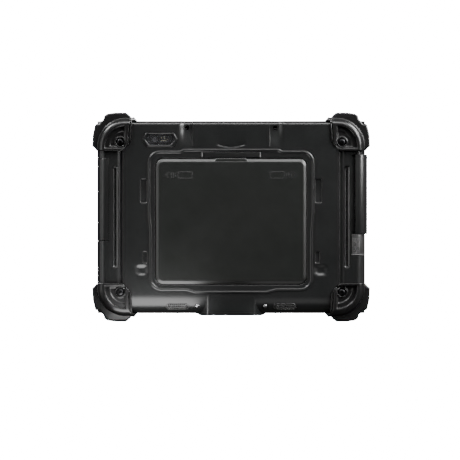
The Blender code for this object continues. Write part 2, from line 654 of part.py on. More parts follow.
# Length of the block along Z, then its opening: place along Y, size along Z, size along Y
SOCKETS = {
    "network_socket": (15.5 * MM, -4.6 * MM, 11.8 * MM, 6.6 * MM),
    "usb_socket_upper": (14.2 * MM, -3.6 * MM, 12.4 * MM, 4.8 * MM),
    "usb_socket_lower": (14.2 * MM, -3.6 * MM, 12.4 * MM, 4.8 * MM),
    "power_socket": (9.0 * MM, -4.6 * MM, 5.6 * MM, 5.6 * MM),
    "video_socket": (15.6 * MM, -3.6 * MM, 13.9 * MM, 4.6 * MM),
    "memory_card_slot": (26.0 * MM, -3.2 * MM, 24.2 * MM, 2.4 * MM),
    "serial_socket": (21.0 * MM, -4.6 * MM, 17.0 * MM, 6.6 * MM),
    "audio_socket": (8.0 * MM, -4.2 * MM, 4.2 * MM, 4.2 * MM),
}
ROUND_SOCKETS = ("power_socket", "audio_socket")
# Side, top, and the sockets from the top down
SOCKET_STACKS = (
    (-1, 155.75 * MM, ("network_socket", "usb_socket_upper", "usb_socket_lower", "power_socket")),
    (1, 160.8 * MM, ("video_socket", "memory_card_slot", "serial_socket")),
    (1, 81.2 * MM, ("audio_socket",)),
)


def socket_places():
    """Each socket's side, and the low and high ends of its block."""
    places = {}
    for side, top, names in SOCKET_STACKS:
        for name in names:
            low = top - SOCKETS[name][0]
            places[name] = (side, low, top)
            top = low - GAP
    return places


def socket(name, look):
    side, low, high = socket_places()[name]
    y, open_z, open_y = SOCKETS[name][1:]
    z = (low + high) / 2
    mouth = PORT_WALL + 0.2 * MM
    body = box(name, sorted((side * 104.6 * MM, side * mouth)), SOCKET_BLOCK, (low, high), look)
    if name in ROUND_SOCKETS:
        opening = circle(y, z, open_z / 2)
    else:
        opening = rectangle(y - open_y / 2, y + open_y / 2, z - open_z / 2, z + open_z / 2, 0.5 * MM, 2)
    reach = sorted((side * (mouth - 12.0 * MM), side * (mouth + BEYOND)))
    return cut(body, plate(name + "_opening", [opening], *reach, "X"))


# Buttons on the front ----------------------------------------------------------------------------------
KEYS = {
    "power_button": MID_Z + 36.0 * MM,
    "home_button": MID_Z + 18.0 * MM,
    "function_button": MID_Z,
    "volume_up_button": MID_Z - 18.0 * MM,
    "volume_down_button": MID_Z - 36.0 * MM,
}


def key_outline(z):
    return rectangle(KEY_X - 3.2 * MM, KEY_X + 3.2 * MM, z - 5.6 * MM, z + 5.6 * MM, 2.4 * MM, 3)


def front_key(name, look):
    key = plate(name, [key_outline(KEYS[name])], 10.2 * MM, FRONT + 0.6 * MM, look=look)
    return hinge_at(key, (KEY_X, FRONT, KEYS[name]))


# Speakers, dome screws and strap anchors ---------------------------------------------------------------
def speaker_grille(name, side, look):
    plan = rectangle(-11.3 * MM, 11.3 * MM, -3.4 * MM, 3.4 * MM, 3.3 * MM)
    place = (side * SPEAKER_X, SPEAKER_Z)
    grille = edge_tool(name, plan, place, 0.1 * MM, -1.6 * MM, look)
    for row in (-1, 0, 1):
        for column in range(-4, 5):
            hole = circle(column * 2.2 * MM, row * 2.0 * MM, 0.6 * MM, 6)
            cut(grille, edge_tool(f"{name}_hole_{row}_{column}", hole, place, 1.0 * MM, -3.0 * MM))
    return grille


def dome_screw(name, side, look, steps=4):
    radius, height, shank = 2.3 * MM, 2.0 * MM, 1.0 * MM
    profile = []
    for k in range(steps + 1):
        angle = math.pi / 2 * k / steps
        profile.append((radius * math.sin(angle), height * math.cos(angle)))
    profile += [(shank, 0.0), (shank, -2.0 * MM), (0.0, -2.0 * MM)]
    depth, tip = edge_point(DOME_SCREW_Z)
    inward = Vector((0.0, math.cos(tip), math.sin(tip)))
    place = Vector((side * DOME_SCREW_X, depth, DOME_SCREW_Z)) + inward * 0.5 * MM
    return turned(name, profile, place, (math.pi / 2 + tip, 0.0, 0.0), look)


def strap_anchor(name, side, look):
    rings = [circle(side * STRAP_X, STRAP_Z, radius) for radius in (2.1 * MM, 1.25 * MM)]
    return plate(name, rings, -13.4 * MM, -8.1 * MM, look=look)


# Camera ------------------------------------------------------------------------------------------------
def camera(shell, glass, insulator, lamp):
    """The surround with its window, and the camera and flash behind the window."""
    surround = rectangle(-89.05 * MM, -53.55 * MM, 174.8 * MM, 189.2 * MM, 5.8 * MM, 3)
    window = rectangle(-86.0 * MM, -56.4 * MM, 177.2 * MM, 187.7 * MM, 4.2 * MM, 3)
    step = BACK + 1.6 * MM
    plate("camera_surround", [surround, grown(window, GAP)], BACK - 0.7 * MM, step, look=shell)
    plate("camera_window", [window], BACK + 0.5 * MM, step, look=glass)
    module = box("camera_module", (-81.0 * MM, -71.8 * MM), (-12.9 * MM, -7.5 * MM), (178.4 * MM, 186.0 * MM),
                 insulator)
    unite(module, rod("camera_barrel", 2.7 * MM, -14.5 * MM, -10.0 * MM, at=(-76.35 * MM, 182.4 * MM)))
    box("camera_flash", (-71.0 * MM, -63.0 * MM), (-14.4 * MM, -11.0 * MM), (180.4 * MM, 185.4 * MM), lamp)


# Electronics and display -------------------------------------------------------------------------------
def electronics(board, module, insulator, copper, magnesium):
    """The boards, modules and frame in the hollow, from the back forwards."""
    box("storage_module", (80.0 * MM, 100.0 * MM), (-4.4 * MM, -1.7 * MM), (62.0 * MM, 142.0 * MM), board)
    box("wireless_module", (-30.0 * MM, -2.0 * MM), (-4.6 * MM, -1.7 * MM), (176.0 * MM, 190.0 * MM), module)
    box("positioning_antenna", (8.0 * MM, 33.0 * MM), (-8.4 * MM, -4.0 * MM), (174.0 * MM, 192.0 * MM),
        insulator)
    for side, side_name in SIDES:
        box(f"{side_name}_speaker", sorted((side * 43.0 * MM, side * 65.0 * MM)), (-9.0 * MM, -3.0 * MM),
            (17.6 * MM, 33.0 * MM), insulator)
    plate("main_board", [cross_outline(103.8 * MM, 92.0 * MM, 24.0 * MM, 14.0 * MM)], -1.4 * MM, 0.2 * MM,
          look=board)
    box("left_port_board", (-121.0 * MM, -104.8 * MM), (0.5 * MM, 2.1 * MM), (88.0 * MM, 158.0 * MM), board)
    box("right_port_board", (104.8 * MM, 121.0 * MM), (0.5 * MM, 2.1 * MM), (72.0 * MM, 162.0 * MM), board)
    box("heat_spreader", (-62.0 * MM, 38.0 * MM), (0.5 * MM, 1.7 * MM), (62.0 * MM, 140.0 * MM), copper)
    box("bay_connector", (-20.0 * MM, 20.0 * MM), (BAY_FLOOR, -1.7 * MM), (44.0 * MM, 51.0 * MM), insulator)
    box("dock_connector", (-17.7 * MM, 17.7 * MM), (-8.7 * MM, -1.3 * MM), (7.0 * MM, 17.0 * MM), insulator)
    box("button_board", (-120.4 * MM, -112.7 * MM), (8.0 * MM, 9.2 * MM), (60.0 * MM, 150.0 * MM), board)

    half_web = 4.0 * MM
    inset = 30.0 * MM
    outer = rectangle(-104.8 * MM, 104.8 * MM, 18.0 * MM, HEIGHT - 18.0 * MM, 2.0 * MM, 2)
    opening = rectangle(half_web, 94.0 * MM, inset, HEIGHT - inset, 4.0 * MM, 2)
    plate("chassis_frame", [outer, mirrored(opening, -1), opening], 3.2 * MM, 5.6 * MM, look=magnesium)


def screen(panel, seal, glass):
    """The display, its gasket and the touch glass over it."""
    half_height = 85.0 * MM
    display = rectangle(-112.0 * MM, 112.0 * MM, MID_Z - half_height, MID_Z + half_height, 1.0 * MM, 2)
    view = rectangle(-106.5 * MM, 106.5 * MM, MID_Z - 80.2 * MM, MID_Z + 80.2 * MM, 1.0 * MM, 2)
    pane = rectangle(-112.0 * MM, 112.0 * MM, MID_Z - 85.5 * MM, MID_Z + 85.5 * MM, 3.0 * MM)
    plate("display_panel", [display], 6.4 * MM, 11.1 * MM, look=panel)
    plate("display_gasket", [grown(pane, -0.5 * MM), view], 12.9 * MM, 13.4 * MM, look=seal)
    plate("touch_glass", [pane], 13.7 * MM, 15.7 * MM, look=glass)


# The whole tablet --------------------------------------------------------------------------------------
SIDES = ((-1, "left"), (1, "right"))
LEVELS = ((1, "upper"), (-1, "lower"))


def main():
    for old in list(bpy.data.objects):
        bpy.data.objects.remove(old)
    bpy.context.scene.collection.children.link(PARTS)
    bpy.context.scene.collection.children.link(CUTTERS)

    shell = material("shell_plastic", (0.020, 0.021, 0.021), 0.42)
    bezel_look = material("bezel_plastic", (0.018, 0.018, 0.019), 0.45)
    rubber = material("bumper_rubber", (0.014, 0.014, 0.014), 0.33)
    pack_look = material("battery_plastic", (0.018, 0.020, 0.018), 0.55)
    cover_look = material("cover_rubber", (0.10, 0.10, 0.10), 0.6)
    seal_look = material("seal_rubber", (0.012, 0.012, 0.012), 0.7)
    steel = material("screw_steel", (0.35, 0.35, 0.36), 0.3, 1.0)
    bright_steel = material("bright_steel", (0.75, 0.75, 0.76), 0.15, 1.0)
    brass = material("anchor_brass", (0.60, 0.42, 0.18), 0.35, 1.0)
    magnesium = material("magnesium", (0.42, 0.42, 0.43), 0.5, 1.0)
    copper = material("spreader_copper", (0.70, 0.35, 0.20), 0.3, 1.0)
    board = material("board_laminate", (0.02, 0.14, 0.05), 0.5)
    module = material("module_shield", (0.55, 0.55, 0.56), 0.35, 1.0)
    insulator = material("insulator_plastic", (0.03, 0.03, 0.03), 0.5)
    glass = material("dark_glass", (0.006, 0.006, 0.007), 0.06)
    panel = material("display_panel", (0.03, 0.03, 0.035), 0.4)
    lamp = material("flash_lens", (0.75, 0.73, 0.62), 0.25)

    rear_housing(shell)
    front_bezel(bezel_look)
    perimeter_seal(seal_look)
    battery_pack(pack_look)
    battery_latch(shell)
    latch_spring(steel)
    camera(shell, glass, insulator, lamp)
    electronics(board, module, insulator, copper, magnesium)
    screen(panel, seal_look, glass)
    for name in KEYS:
        front_key(name, bezel_look)

    head, hex_socket, shank = (3.2 * MM, 2.0 * MM), (1.5 * MM, 1.3 * MM), 1.5 * MM
    for side, side_name in SIDES:
        for level, level_name in LEVELS:
            corner_bumper(f"{level_name}_{side_name}_bumper", side, level, rubber)
            place = (side * SCREW_X, -14.4 * MM, MID_Z + level * SCREW_RISE)
            cap_screw(f"{level_name}_{side_name}_bumper_screw", place, (math.pi / 2, 0.0, 0.0),
                      head, hex_socket, shank, 9.6 * MM, steel)
        speaker_grille(f"{side_name}_speaker_grille", side, insulator)
        dome_screw(f"{side_name}_dome_screw", side, bright_steel)
        strap_anchor(f"{side_name}_strap_anchor", side, brass)

    # Doors, their hinge pins and the sockets behind them
    left_plug = (84.8 * MM, 160.1 * MM)
    right_plug = (91.3 * MM, 163.9 * MM)
    port_door("left_port_door", -1, LEFT_DOOR, 122.5 * MM, 0.0, left_plug, shell)
    port_door("right_port_door", 1, RIGHT_DOOR, 124.35 * MM, 2.3 * MM, right_plug, shell)
    port_door("audio_cover", 1, SMALL_COVER, 120.55 * MM, 0.0, (70.4 * MM, 84.1 * MM), cover_look)
    door_seal("left_door_seal", -1, left_plug, seal_look)
    door_seal("right_door_seal", 1, right_plug, seal_look)
    reach = 1.8 * MM
    rod("left_hinge_pin", PIN_RADIUS, LEFT_DOOR[0] - reach, LEFT_DOOR[1] + reach, "Z",
        (hinge_axis(-1), HINGE_Y), steel, 12)
    rod("right_hinge_pin", PIN_RADIUS, SMALL_COVER[0] - reach, RIGHT_DOOR[1] + reach, "Z",
        (hinge_axis(1), HINGE_Y), steel, 12)
    for name in SOCKETS:
        socket(name, insulator if name in ROUND_SOCKETS else module)


main()
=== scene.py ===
"""The looks of the rugged field tablet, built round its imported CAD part.

+Z is up, the back faces -Y and the screen faces +Y. Every place is in metres, written as millimetres
times MM or, in a list of places, inside in_mm().
Outlines are (x, z) where they are extruded along Y, (x, y) along Z and (y, z) along X.
"""
import json
import math

import bmesh
import bpy
import numpy as np
from mathutils import Matrix, Vector


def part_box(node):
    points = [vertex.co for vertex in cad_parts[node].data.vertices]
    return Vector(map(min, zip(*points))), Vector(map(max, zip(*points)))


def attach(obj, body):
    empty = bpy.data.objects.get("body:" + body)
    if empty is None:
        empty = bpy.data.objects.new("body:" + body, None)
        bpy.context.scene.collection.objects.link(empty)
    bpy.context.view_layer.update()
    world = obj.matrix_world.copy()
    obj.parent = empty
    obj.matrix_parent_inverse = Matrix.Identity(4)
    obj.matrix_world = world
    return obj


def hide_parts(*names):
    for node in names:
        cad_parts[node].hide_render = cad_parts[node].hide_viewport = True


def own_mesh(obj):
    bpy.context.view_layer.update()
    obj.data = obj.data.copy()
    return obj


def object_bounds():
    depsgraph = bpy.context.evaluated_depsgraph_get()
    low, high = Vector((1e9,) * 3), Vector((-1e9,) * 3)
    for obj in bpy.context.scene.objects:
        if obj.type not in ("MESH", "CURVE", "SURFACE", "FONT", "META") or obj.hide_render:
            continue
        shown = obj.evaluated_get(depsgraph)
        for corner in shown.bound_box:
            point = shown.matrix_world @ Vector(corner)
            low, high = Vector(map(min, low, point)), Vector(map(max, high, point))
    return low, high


MM = 0.001

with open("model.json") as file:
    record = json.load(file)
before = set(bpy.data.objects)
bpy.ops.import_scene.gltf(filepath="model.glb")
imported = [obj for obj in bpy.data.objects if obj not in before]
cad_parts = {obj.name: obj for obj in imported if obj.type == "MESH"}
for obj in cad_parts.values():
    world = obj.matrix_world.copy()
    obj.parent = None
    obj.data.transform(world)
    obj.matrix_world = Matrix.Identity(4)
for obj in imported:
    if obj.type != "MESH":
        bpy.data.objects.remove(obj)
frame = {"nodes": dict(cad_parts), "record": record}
CAD_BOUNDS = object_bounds()

# Driving dimensions, read from the frame ---------------------------------------------------------------
HALF_WIDTH = CAD_BOUNDS[1].x
HALF_DEPTH = CAD_BOUNDS[1].y
HEIGHT = CAD_BOUNDS[1].z
MID_Z = HEIGHT / 2
BODY_HALF_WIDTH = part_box("front_bezel")[1].x
BODY_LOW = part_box("front_bezel")[0].z
BODY_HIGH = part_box("front_bezel")[1].z
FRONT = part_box("front_bezel")[1].y
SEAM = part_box("rear_housing")[1].y
BEAD_HEIGHT = 1.0 * MM
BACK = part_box("rear_housing")[0].y + BEAD_HEIGHT
WING_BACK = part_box("left_port_door")[0].y
CENTRE_HALF_WIDTH = 108.5 * MM
GAP = 0.3 * MM
BEYOND = 10.0 * MM

EDGE_DEPTH = 12.0 * MM
EDGE_HEIGHT = 19.0 * MM
TOP_ROUND = 4.5 * MM
WING_ROUND = 9.0 * MM

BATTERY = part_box("battery_pack")
BATTERY_TOP = 163.4 * MM        # without its finger tab
BATTERY_ROUND = 8.0 * MM
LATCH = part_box("battery_latch")
BAY_FLOOR = BATTERY[1].y + GAP
LEFT_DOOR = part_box("left_port_door")
RIGHT_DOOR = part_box("right_port_door")
SMALL_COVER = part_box("audio_cover")
HINGE_Y = sum(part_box("left_hinge_pin")[k].y for k in (0, 1)) / 2
PIN_RADIUS = (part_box("left_hinge_pin")[1].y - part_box("left_hinge_pin")[0].y) / 2
BARREL_RADIUS = 1.9 * MM
DOOR_THICKNESS = 2.2 * MM
PORT_WALL = 124.0 * MM
SOCKETS = ("network_socket", "usb_socket_upper", "usb_socket_lower", "power_socket", "video_socket",
           "memory_card_slot", "serial_socket", "audio_socket")
SCREW_X = 111.0 * MM
SCREW_RISE = 75.15 * MM
SPEAKER_X = 53.8 * MM
SPEAKER_Z = 15.2 * MM
DOME_SCREW_X = 34.0 * MM
DOME_SCREW_Z = 15.5 * MM
STRAP_X = 44.15 * MM
STRAP_Z = 194.2 * MM
LENS_AT = (-76.35 * MM, 182.4 * MM)
SIDES = ((-1, "left"), (1, "right"))
LEVELS = ((1, "upper"), (-1, "lower"))
KEYS = {"power_button": "power_key", "home_button": "home_key", "function_button": "function_key",
        "volume_up_button": "volume_up_key", "volume_down_button": "volume_down_key"}
VIEW_WIDTH = 460.0 * MM


def in_mm(*places):
    """Corners or profile points that are written in millimetres, in metres."""
    return [tuple(value * MM for value in place) for place in places]


# Heights, from and to, of the plugs on the left door, the right door and the small cover
PLUGS = in_mm((84.8, 160.1), (91.3, 163.9), (70.4, 84.1))


# Materials ---------------------------------------------------------------------------------------------
def surface(name, dark, light, roughness, grain, metallic=0.0):
    """A finish whose colour, gloss and relief all vary a little: grain is (grains per metre, relief)."""
    made = bpy.data.materials.new(name)
    made.use_nodes = True
    nodes = made.node_tree.nodes
    links = made.node_tree.links
    shader = nodes["Principled BSDF"]
    shader.inputs["Metallic"].default_value = metallic
    place = nodes.new("ShaderNodeTexCoord")

    clouds = nodes.new("ShaderNodeTexNoise")
    clouds.inputs["Scale"].default_value = 22.0
    clouds.inputs["Detail"].default_value = 5.0
    links.new(place.outputs["Object"], clouds.inputs["Vector"])
    tint = nodes.new("ShaderNodeValToRGB")
    tint.color_ramp.elements[0].position = 0.35
    tint.color_ramp.elements[0].color = (*dark, 1.0)
    tint.color_ramp.elements[1].position = 0.65
    tint.color_ramp.elements[1].color = (*light, 1.0)
    links.new(clouds.outputs["Fac"], tint.inputs["Fac"])
    links.new(tint.outputs["Color"], shader.inputs["Base Color"])

    smears = nodes.new("ShaderNodeTexNoise")
    smears.inputs["Scale"].default_value = 60.0
    smears.inputs["Detail"].default_value = 6.0
    links.new(place.outputs["Object"], smears.inputs["Vector"])
    gloss = nodes.new("ShaderNodeMapRange")
    gloss.inputs["To Min"].default_value = roughness[0]
    gloss.inputs["To Max"].default_value = roughness[1]
    links.new(smears.outputs["Fac"], gloss.inputs["Value"])
    links.new(gloss.outputs["Result"], shader.inputs["Roughness"])

    pebbles = nodes.new("ShaderNodeTexNoise")
    pebbles.inputs["Scale"].default_value = grain[0]
    pebbles.inputs["Detail"].default_value = 3.0
    links.new(place.outputs["Object"], pebbles.inputs["Vector"])
    relief = nodes.new("ShaderNodeBump")
    relief.inputs["Strength"].default_value = grain[1]
    relief.inputs["Distance"].default_value = 0.05 * MM
    links.new(pebbles.outputs["Fac"], relief.inputs["Height"])
    links.new(relief.outputs["Normal"], shader.inputs["Normal"])
    return made


def glass(name, tint, roughness, clearness=1.0):
    made = surface(name, tint, tint, (roughness, roughness + 0.03), (300.0, 0.01))
    shader = made.node_tree.nodes["Principled BSDF"]
    shader.inputs["Transmission Weight"].default_value = clearness
    shader.inputs["IOR"].default_value = 1.45
    return made


# Each finish is its dark colour, light colour, roughness range, grains per metre with their relief,
# and how metallic it is where that isn't 0.
FINISHES = {
    "shell_plastic": ((0.0055, 0.0058, 0.0058), (0.0075, 0.0078, 0.0078), (0.26, 0.34), (2600.0, 0.12)),
    "bezel_plastic": ((0.008, 0.008, 0.0085), (0.01, 0.01, 0.0105), (0.34, 0.44), (2600.0, 0.16)),
    "bumper_rubber": ((0.0035, 0.0035, 0.0035), (0.005, 0.005, 0.005), (0.24, 0.34), (1500.0, 0.06)),
    "battery_plastic": ((0.0052, 0.0058, 0.0052), (0.0066, 0.0072, 0.0066), (0.3, 0.38), (3200.0, 0.2)),
    "cover_rubber": ((0.004, 0.004, 0.004), (0.018, 0.018, 0.017), (0.35, 0.5), (500.0, 1.0)),
    "seal_rubber": ((0.01, 0.01, 0.01), (0.014, 0.014, 0.014), (0.6, 0.75), (2000.0, 0.1)),
    "screw_steel": ((0.016, 0.016, 0.017), (0.028, 0.028, 0.029), (0.25, 0.4), (900.0, 0.05), 1.0),
    "bright_steel": ((0.78, 0.78, 0.79), (0.86, 0.86, 0.87), (0.08, 0.14), (300.0, 0.01), 1.0),
    "dome_steel": ((0.26, 0.26, 0.265), (0.32, 0.32, 0.325), (0.2, 0.28), (300.0, 0.01), 1.0),
    "anchor_brass": ((0.5, 0.34, 0.14), (0.6, 0.42, 0.18), (0.3, 0.4), (600.0, 0.05), 1.0),
    "magnesium": ((0.38, 0.38, 0.39), (0.44, 0.44, 0.45), (0.45, 0.55), (1500.0, 0.2), 1.0),
    "spreader_copper": ((0.62, 0.3, 0.17), (0.7, 0.36, 0.21), (0.25, 0.35), (600.0, 0.05), 1.0),
    "board_laminate": ((0.015, 0.11, 0.04), (0.02, 0.15, 0.055), (0.4, 0.5), (800.0, 0.1)),
    "module_shield": ((0.5, 0.5, 0.51), (0.58, 0.58, 0.59), (0.3, 0.4), (500.0, 0.05), 1.0),
    "insulator_plastic": ((0.004, 0.004, 0.004), (0.006, 0.006, 0.006), (0.35, 0.5), (1500.0, 0.1)),
    "display_panel": ((0.008, 0.008, 0.009), (0.01, 0.01, 0.012), (0.3, 0.4), (500.0, 0.02)),
    "flash_lens": ((0.22, 0.21, 0.16), (0.3, 0.28, 0.2), (0.12, 0.2), (600.0, 0.05)),
    # The next two are lighter greys that paint highlights onto pieces of darker plastic: the first on the
    # latch ribs, the battery tab's ends and the small cover's specks and rim, the second on the grip strips,
    # the speaker grilles and the battery's arrow marks.
    "polished_plastic": ((0.1, 0.1, 0.1), (0.12, 0.12, 0.12), (0.12, 0.18), (1500.0, 0.05)),
    "grille_plastic": ((0.03, 0.03, 0.03), (0.04, 0.04, 0.04), (0.16, 0.22), (1500.0, 0.1)),
    "camera_ring": ((0.1, 0.1, 0.105), (0.14, 0.14, 0.145), (0.2, 0.3), (600.0, 0.05)),
}
# Each glass is its tint, its roughness and how clear it is where that isn't 1.
GLASSES = {
    "dark_glass": ((0.16, 0.165, 0.175), 0.02),
    "camera_glass": ((0.62, 0.63, 0.65), 0.04, 0.985),
}
LOOKS = {name: surface(name + "_look", *finish) for name, finish in FINISHES.items()}
LOOKS.update({name: glass(name + "_look", *finish) for name, finish in GLASSES.items()})


# Outlines ----------------------------------------------------------------------------------------------
def rounded(corners, steps=8):
    """Turn (a, b) or (a, b, radius) corners into an outline whose corners are arcs."""
    points = []
    count = len(corners)
    for i, corner in enumerate(corners):
        here = Vector(corner[:2])
        radius = corner[2] if len(corner) > 2 else 0.0
        if radius == 0.0:
            points.append(tuple(here))
            continue
        before = (Vector(corners[i - 1][:2]) - here).normalized()
        after = (Vector(corners[(i + 1) % count][:2]) - here).normalized()
        opening = before.angle(after)
        reach = radius / math.tan(opening / 2)
        centre = here + (before + after).normalized() * radius / math.sin(opening / 2)
        start = here + before * reach - centre
        turn = math.pi - opening
        if start.x * (here + after * reach - centre).y - start.y * (here + after * reach - centre).x < 0:
            turn = -turn
        for k in range(steps + 1):
            angle = turn * k / steps
            points.append((
                centre.x + start.x * math.cos(angle) - start.y * math.sin(angle),
                centre.y + start.x * math.sin(angle) + start.y * math.cos(angle),
            ))
    return points


def rectangle(low_a, high_a, low_b, high_b, radius=0.0, steps=8):
    return rounded([(low_a, low_b, radius), (high_a, low_b, radius),
                    (high_a, high_b, radius), (low_a, high_b, radius)], steps)


def face_of(low, high, radius=0.0, steps=8, margin=0.0):
    """The outline of a box seen from the back, with a margin all round."""
    return rectangle(low.x - margin, high.x + margin, low.z - margin, high.z + margin, radius, steps)


def circle(centre_a, centre_b, radius, steps=32):
    return [(centre_a + radius * math.cos(math.tau * k / steps),
             centre_b + radius * math.sin(math.tau * k / steps)) for k in range(steps)]


def grown(points, distance):
    """Offset a closed outline outwards by distance, or inwards where it is negative."""
    count = len(points)
    area = sum(points[i - 1][0] * points[i][1] - points[i][0] * points[i - 1][1] for i in range(count))
    side = 1.0 if area > 0 else -1.0
    moved = []
    for i in range(count):
        here = Vector(points[i])
        inward = (here - Vector(points[i - 1])).normalized()
        onward = (Vector(points[(i + 1) % count]) - here).normalized()
        normal = Vector((inward.y + onward.y, -inward.x - onward.x)).normalized()
        spread = max(0.5, normal.dot(Vector((onward.y, -onward.x))))
        moved.append(tuple(here + normal * (side * distance / spread)))
    return moved


def mirrored(points, side):
    return [(side * point[0], *point[1:]) for point in points]


def flipped(points, level):
    """The same outline above the middle height for level 1, or below it for level -1."""
    return [(point[0], MID_Z + level * (point[1] - MID_Z)) for point in points]


def bumper_outline():
    """The upper right bumper: two raised pads with a notched diagonal between them."""
    wide, high = HALF_WIDTH, HEIGHT
    return rounded([
        (99.0 * MM, BODY_HIGH + GAP),
        (wide - 45.0 * MM, BODY_HIGH + GAP),
        (wide - 41.9 * MM, high - 4.3 * MM, 0.8 * MM),
        (wide - 39.7 * MM, high - 5.3 * MM, 0.8 * MM),
        (wide - 36.6 * MM, high - 1.9 * MM),
        (wide - 33.8 * MM, high),
        (wide - 23.0 * MM, high),
        (wide - 15.1 * MM, high - 1.2 * MM),
        (wide - 12.2 * MM, high - 3.1 * MM),
        (wide - 11.3 * MM, high - 6.7 * MM),
        (wide - 8.9 * MM, high - 9.1 * MM),
        (wide - 7.0 * MM, high - 11.7 * MM),
        (wide - 4.6 * MM, high - 11.2 * MM),
        (wide - 2.9 * MM, high - 12.4 * MM),
        (wide - 0.5 * MM, high - 22.5 * MM),
        (wide, high - 33.9 * MM),
        (wide - 2.2 * MM, high - 35.6 * MM),
        (BODY_HALF_WIDTH + GAP, 171.2 * MM),
        (108.8 * MM, 171.2 * MM, 3.0 * MM),
        (100.4 * MM, 180.0 * MM, 8.0 * MM),
    ])


def bead_outline():
    """Centre line of the raised bead round the battery bay."""
    right = in_mm((36.0, 29.7, 2.0), (45.0, 32.3, 4.0), (80.4, 32.3, 11.0), (80.4, 90.0, 60.0),
                  (82.0, 109.0, 60.0), (82.0, 170.0, 11.0), (50.5, 170.0, 2.0), (47.0, 171.9, 2.0))
    left = mirrored(right, -1)
    return rounded(right + left[::-1], 10)


def door_outline(seam, bulge, steps=10):
    """A right-hand port door in (x, y): a shell round the wing's edge that ends in its hinge barrel."""
    outer = BODY_HALF_WIDTH + bulge
    inner = BODY_HALF_WIDTH - DOOR_THICKNESS
    axis = BODY_HALF_WIDTH - BARREL_RADIUS
    shell = rounded([(seam, WING_BACK), (outer, WING_BACK, WING_ROUND), (outer, HINGE_Y - 4.0 * MM)], steps)
    points = shell[:-1]
    if bulge > 0:
        points += [(outer, HINGE_Y - 4.0 * MM), (BODY_HALF_WIDTH, HINGE_Y - 1.4 * MM)]
    for k in range(20):
        angle = math.radians(-8 + 268 * k / 19)
        points.append((axis + BARREL_RADIUS * math.cos(angle), HINGE_Y + BARREL_RADIUS * math.sin(angle)))
    inside, inner_round = WING_BACK + DOOR_THICKNESS, WING_ROUND - DOOR_THICKNESS
    points += rounded([(inner, HINGE_Y - 3.0 * MM), (inner, inside, inner_round), (seam, inside)], steps)
    return points


def hinge_axis(side):
    return side * (BODY_HALF_WIDTH - BARREL_RADIUS)


# Solids ------------------------------------------------------------------------------------------------
TURNS = {
    "X": Matrix(((0, 0, 1, 0), (1, 0, 0, 0), (0, 1, 0, 0), (0, 0, 0, 1))),
    "Y": Matrix(((1, 0, 0, 0), (0, 0, 1, 0), (0, 1, 0, 0), (0, 0, 0, 1))),
    "Z": Matrix.Identity(4),
}


def solid(name, points, faces):
    """A closed outward mesh object from points and faces."""
    mesh = bpy.data.meshes.new(name)
    mesh.from_pydata(points, [], faces)
    shape = bmesh.new()
    shape.from_mesh(mesh)
    bmesh.ops.recalc_face_normals(shape, faces=shape.faces)
    shape.to_mesh(mesh)
    shape.free()
    made = bpy.data.objects.new(name, mesh)
    bpy.context.scene.collection.objects.link(made)
    return made


def lofted(name, outline, rings, along="Y"):
    """Stack copies of an outline into a solid. Each ring is (growth, level along the axis)."""
    points = []
    for growth, level in rings:
        loop = grown(outline, growth) if growth else outline
        points += [(TURNS[along] @ Vector((a, b, level)))[:] for a, b in loop]
    count = len(outline)
    faces = [list(range(count)), list(range(len(points) - count, len(points)))]
    for ring in range(len(rings) - 1):
        for i in range(count):
            onward = (i + 1) % count
            low, high = ring * count, (ring + 1) * count
            faces.append((low + i, low + onward, high + onward, high + i))
    return solid(name, points, faces)


def plate(name, outline, low, high, along="Y"):
    return lofted(name, outline, [(0.0, low), (0.0, high)], along)


def box(name, x, y, z):
    return plate(name, rectangle(x[0], x[1], z[0], z[1]), y[0], y[1])


def rod(name, radius, low, high, along="Y", at=(0.0, 0.0), steps=32):
    return plate(name, circle(at[0], at[1], radius, steps), low, high, along)


def soft_end(level, inwards, radius, steps=4):
    """Rings of a quarter round from the flat end at level to the side wall. inwards is 1 or -1."""
    rings = []
    for k in range(steps + 1):
        angle = math.pi / 2 * k / steps
        rings.append((radius * (math.sin(angle) - 1.0), level + inwards * radius * (1.0 - math.cos(angle))))
    return rings


def cushion(name, outline, low, high, low_round, high_round, along="Y"):
    """A plate with rounded edges at its low and high ends."""
    rings = soft_end(low, 1, low_round) + soft_end(high, -1, high_round)[::-1]
    return lofted(name, outline, rings, along)


def pocket(name, outline, top, floor, lip=0.4 * MM, foot=0.3 * MM, along="Y"):
    """A cutter for a pocket that opens at top and has a soft lip and a soft foot."""
    inwards = 1 if floor > top else -1
    rings = [(lip, top - inwards * BEYOND)]
    for k in range(4, -1, -1):
        angle = math.pi / 2 * k / 4
        level = top - inwards * 0.01 * MM + inwards * lip * (1.0 - math.sin(angle))
        rings.append((lip * (1.0 - math.cos(angle)), level))
    rings += soft_end(floor, -inwards, foot, 3)[::-1]
    return lofted(name, outline, rings, along)


def turned(name, profile, steps=32):
    """Turn a (radius, height) profile about Z. Its first and last points lie on the axis."""
    points = [(0.0, 0.0, profile[0][1])]
    for radius, height in profile[1:-1]:
        points += [(x, y, height) for x, y in circle(0.0, 0.0, radius, steps)]
    points.append((0.0, 0.0, profile[-1][1]))
    last = len(points) - 1
    faces = []
    rows = len(profile) - 2
    for k in range(steps):
        onward = (k + 1) % steps
        faces.append((0, 1 + k, 1 + onward))
        faces.append((last, last - steps + onward, last - steps + k))
        for row in range(rows - 1):
            here, there = 1 + row * steps, 1 + (row + 1) * steps
            faces.append((here + k, there + k, there + onward, here + onward))
    return solid(name, points, faces)


def swept(name, path, profile):
    """Sweep a (across, out) profile round a closed (x, z) path on the back. The solid is a ring."""
    points = []
    for across, out in profile:
        points += [(x, BACK - out, z) for x, z in grown(path, across)]
    count = len(path)
    faces = []
    for row in range(len(profile)):
        here, there = row * count, (row + 1) % len(profile) * count
        for i in range(count):
            onward = (i + 1) % count
            faces.append((here + i, here + onward, there + onward, there + i))
    return solid(name, points, faces)


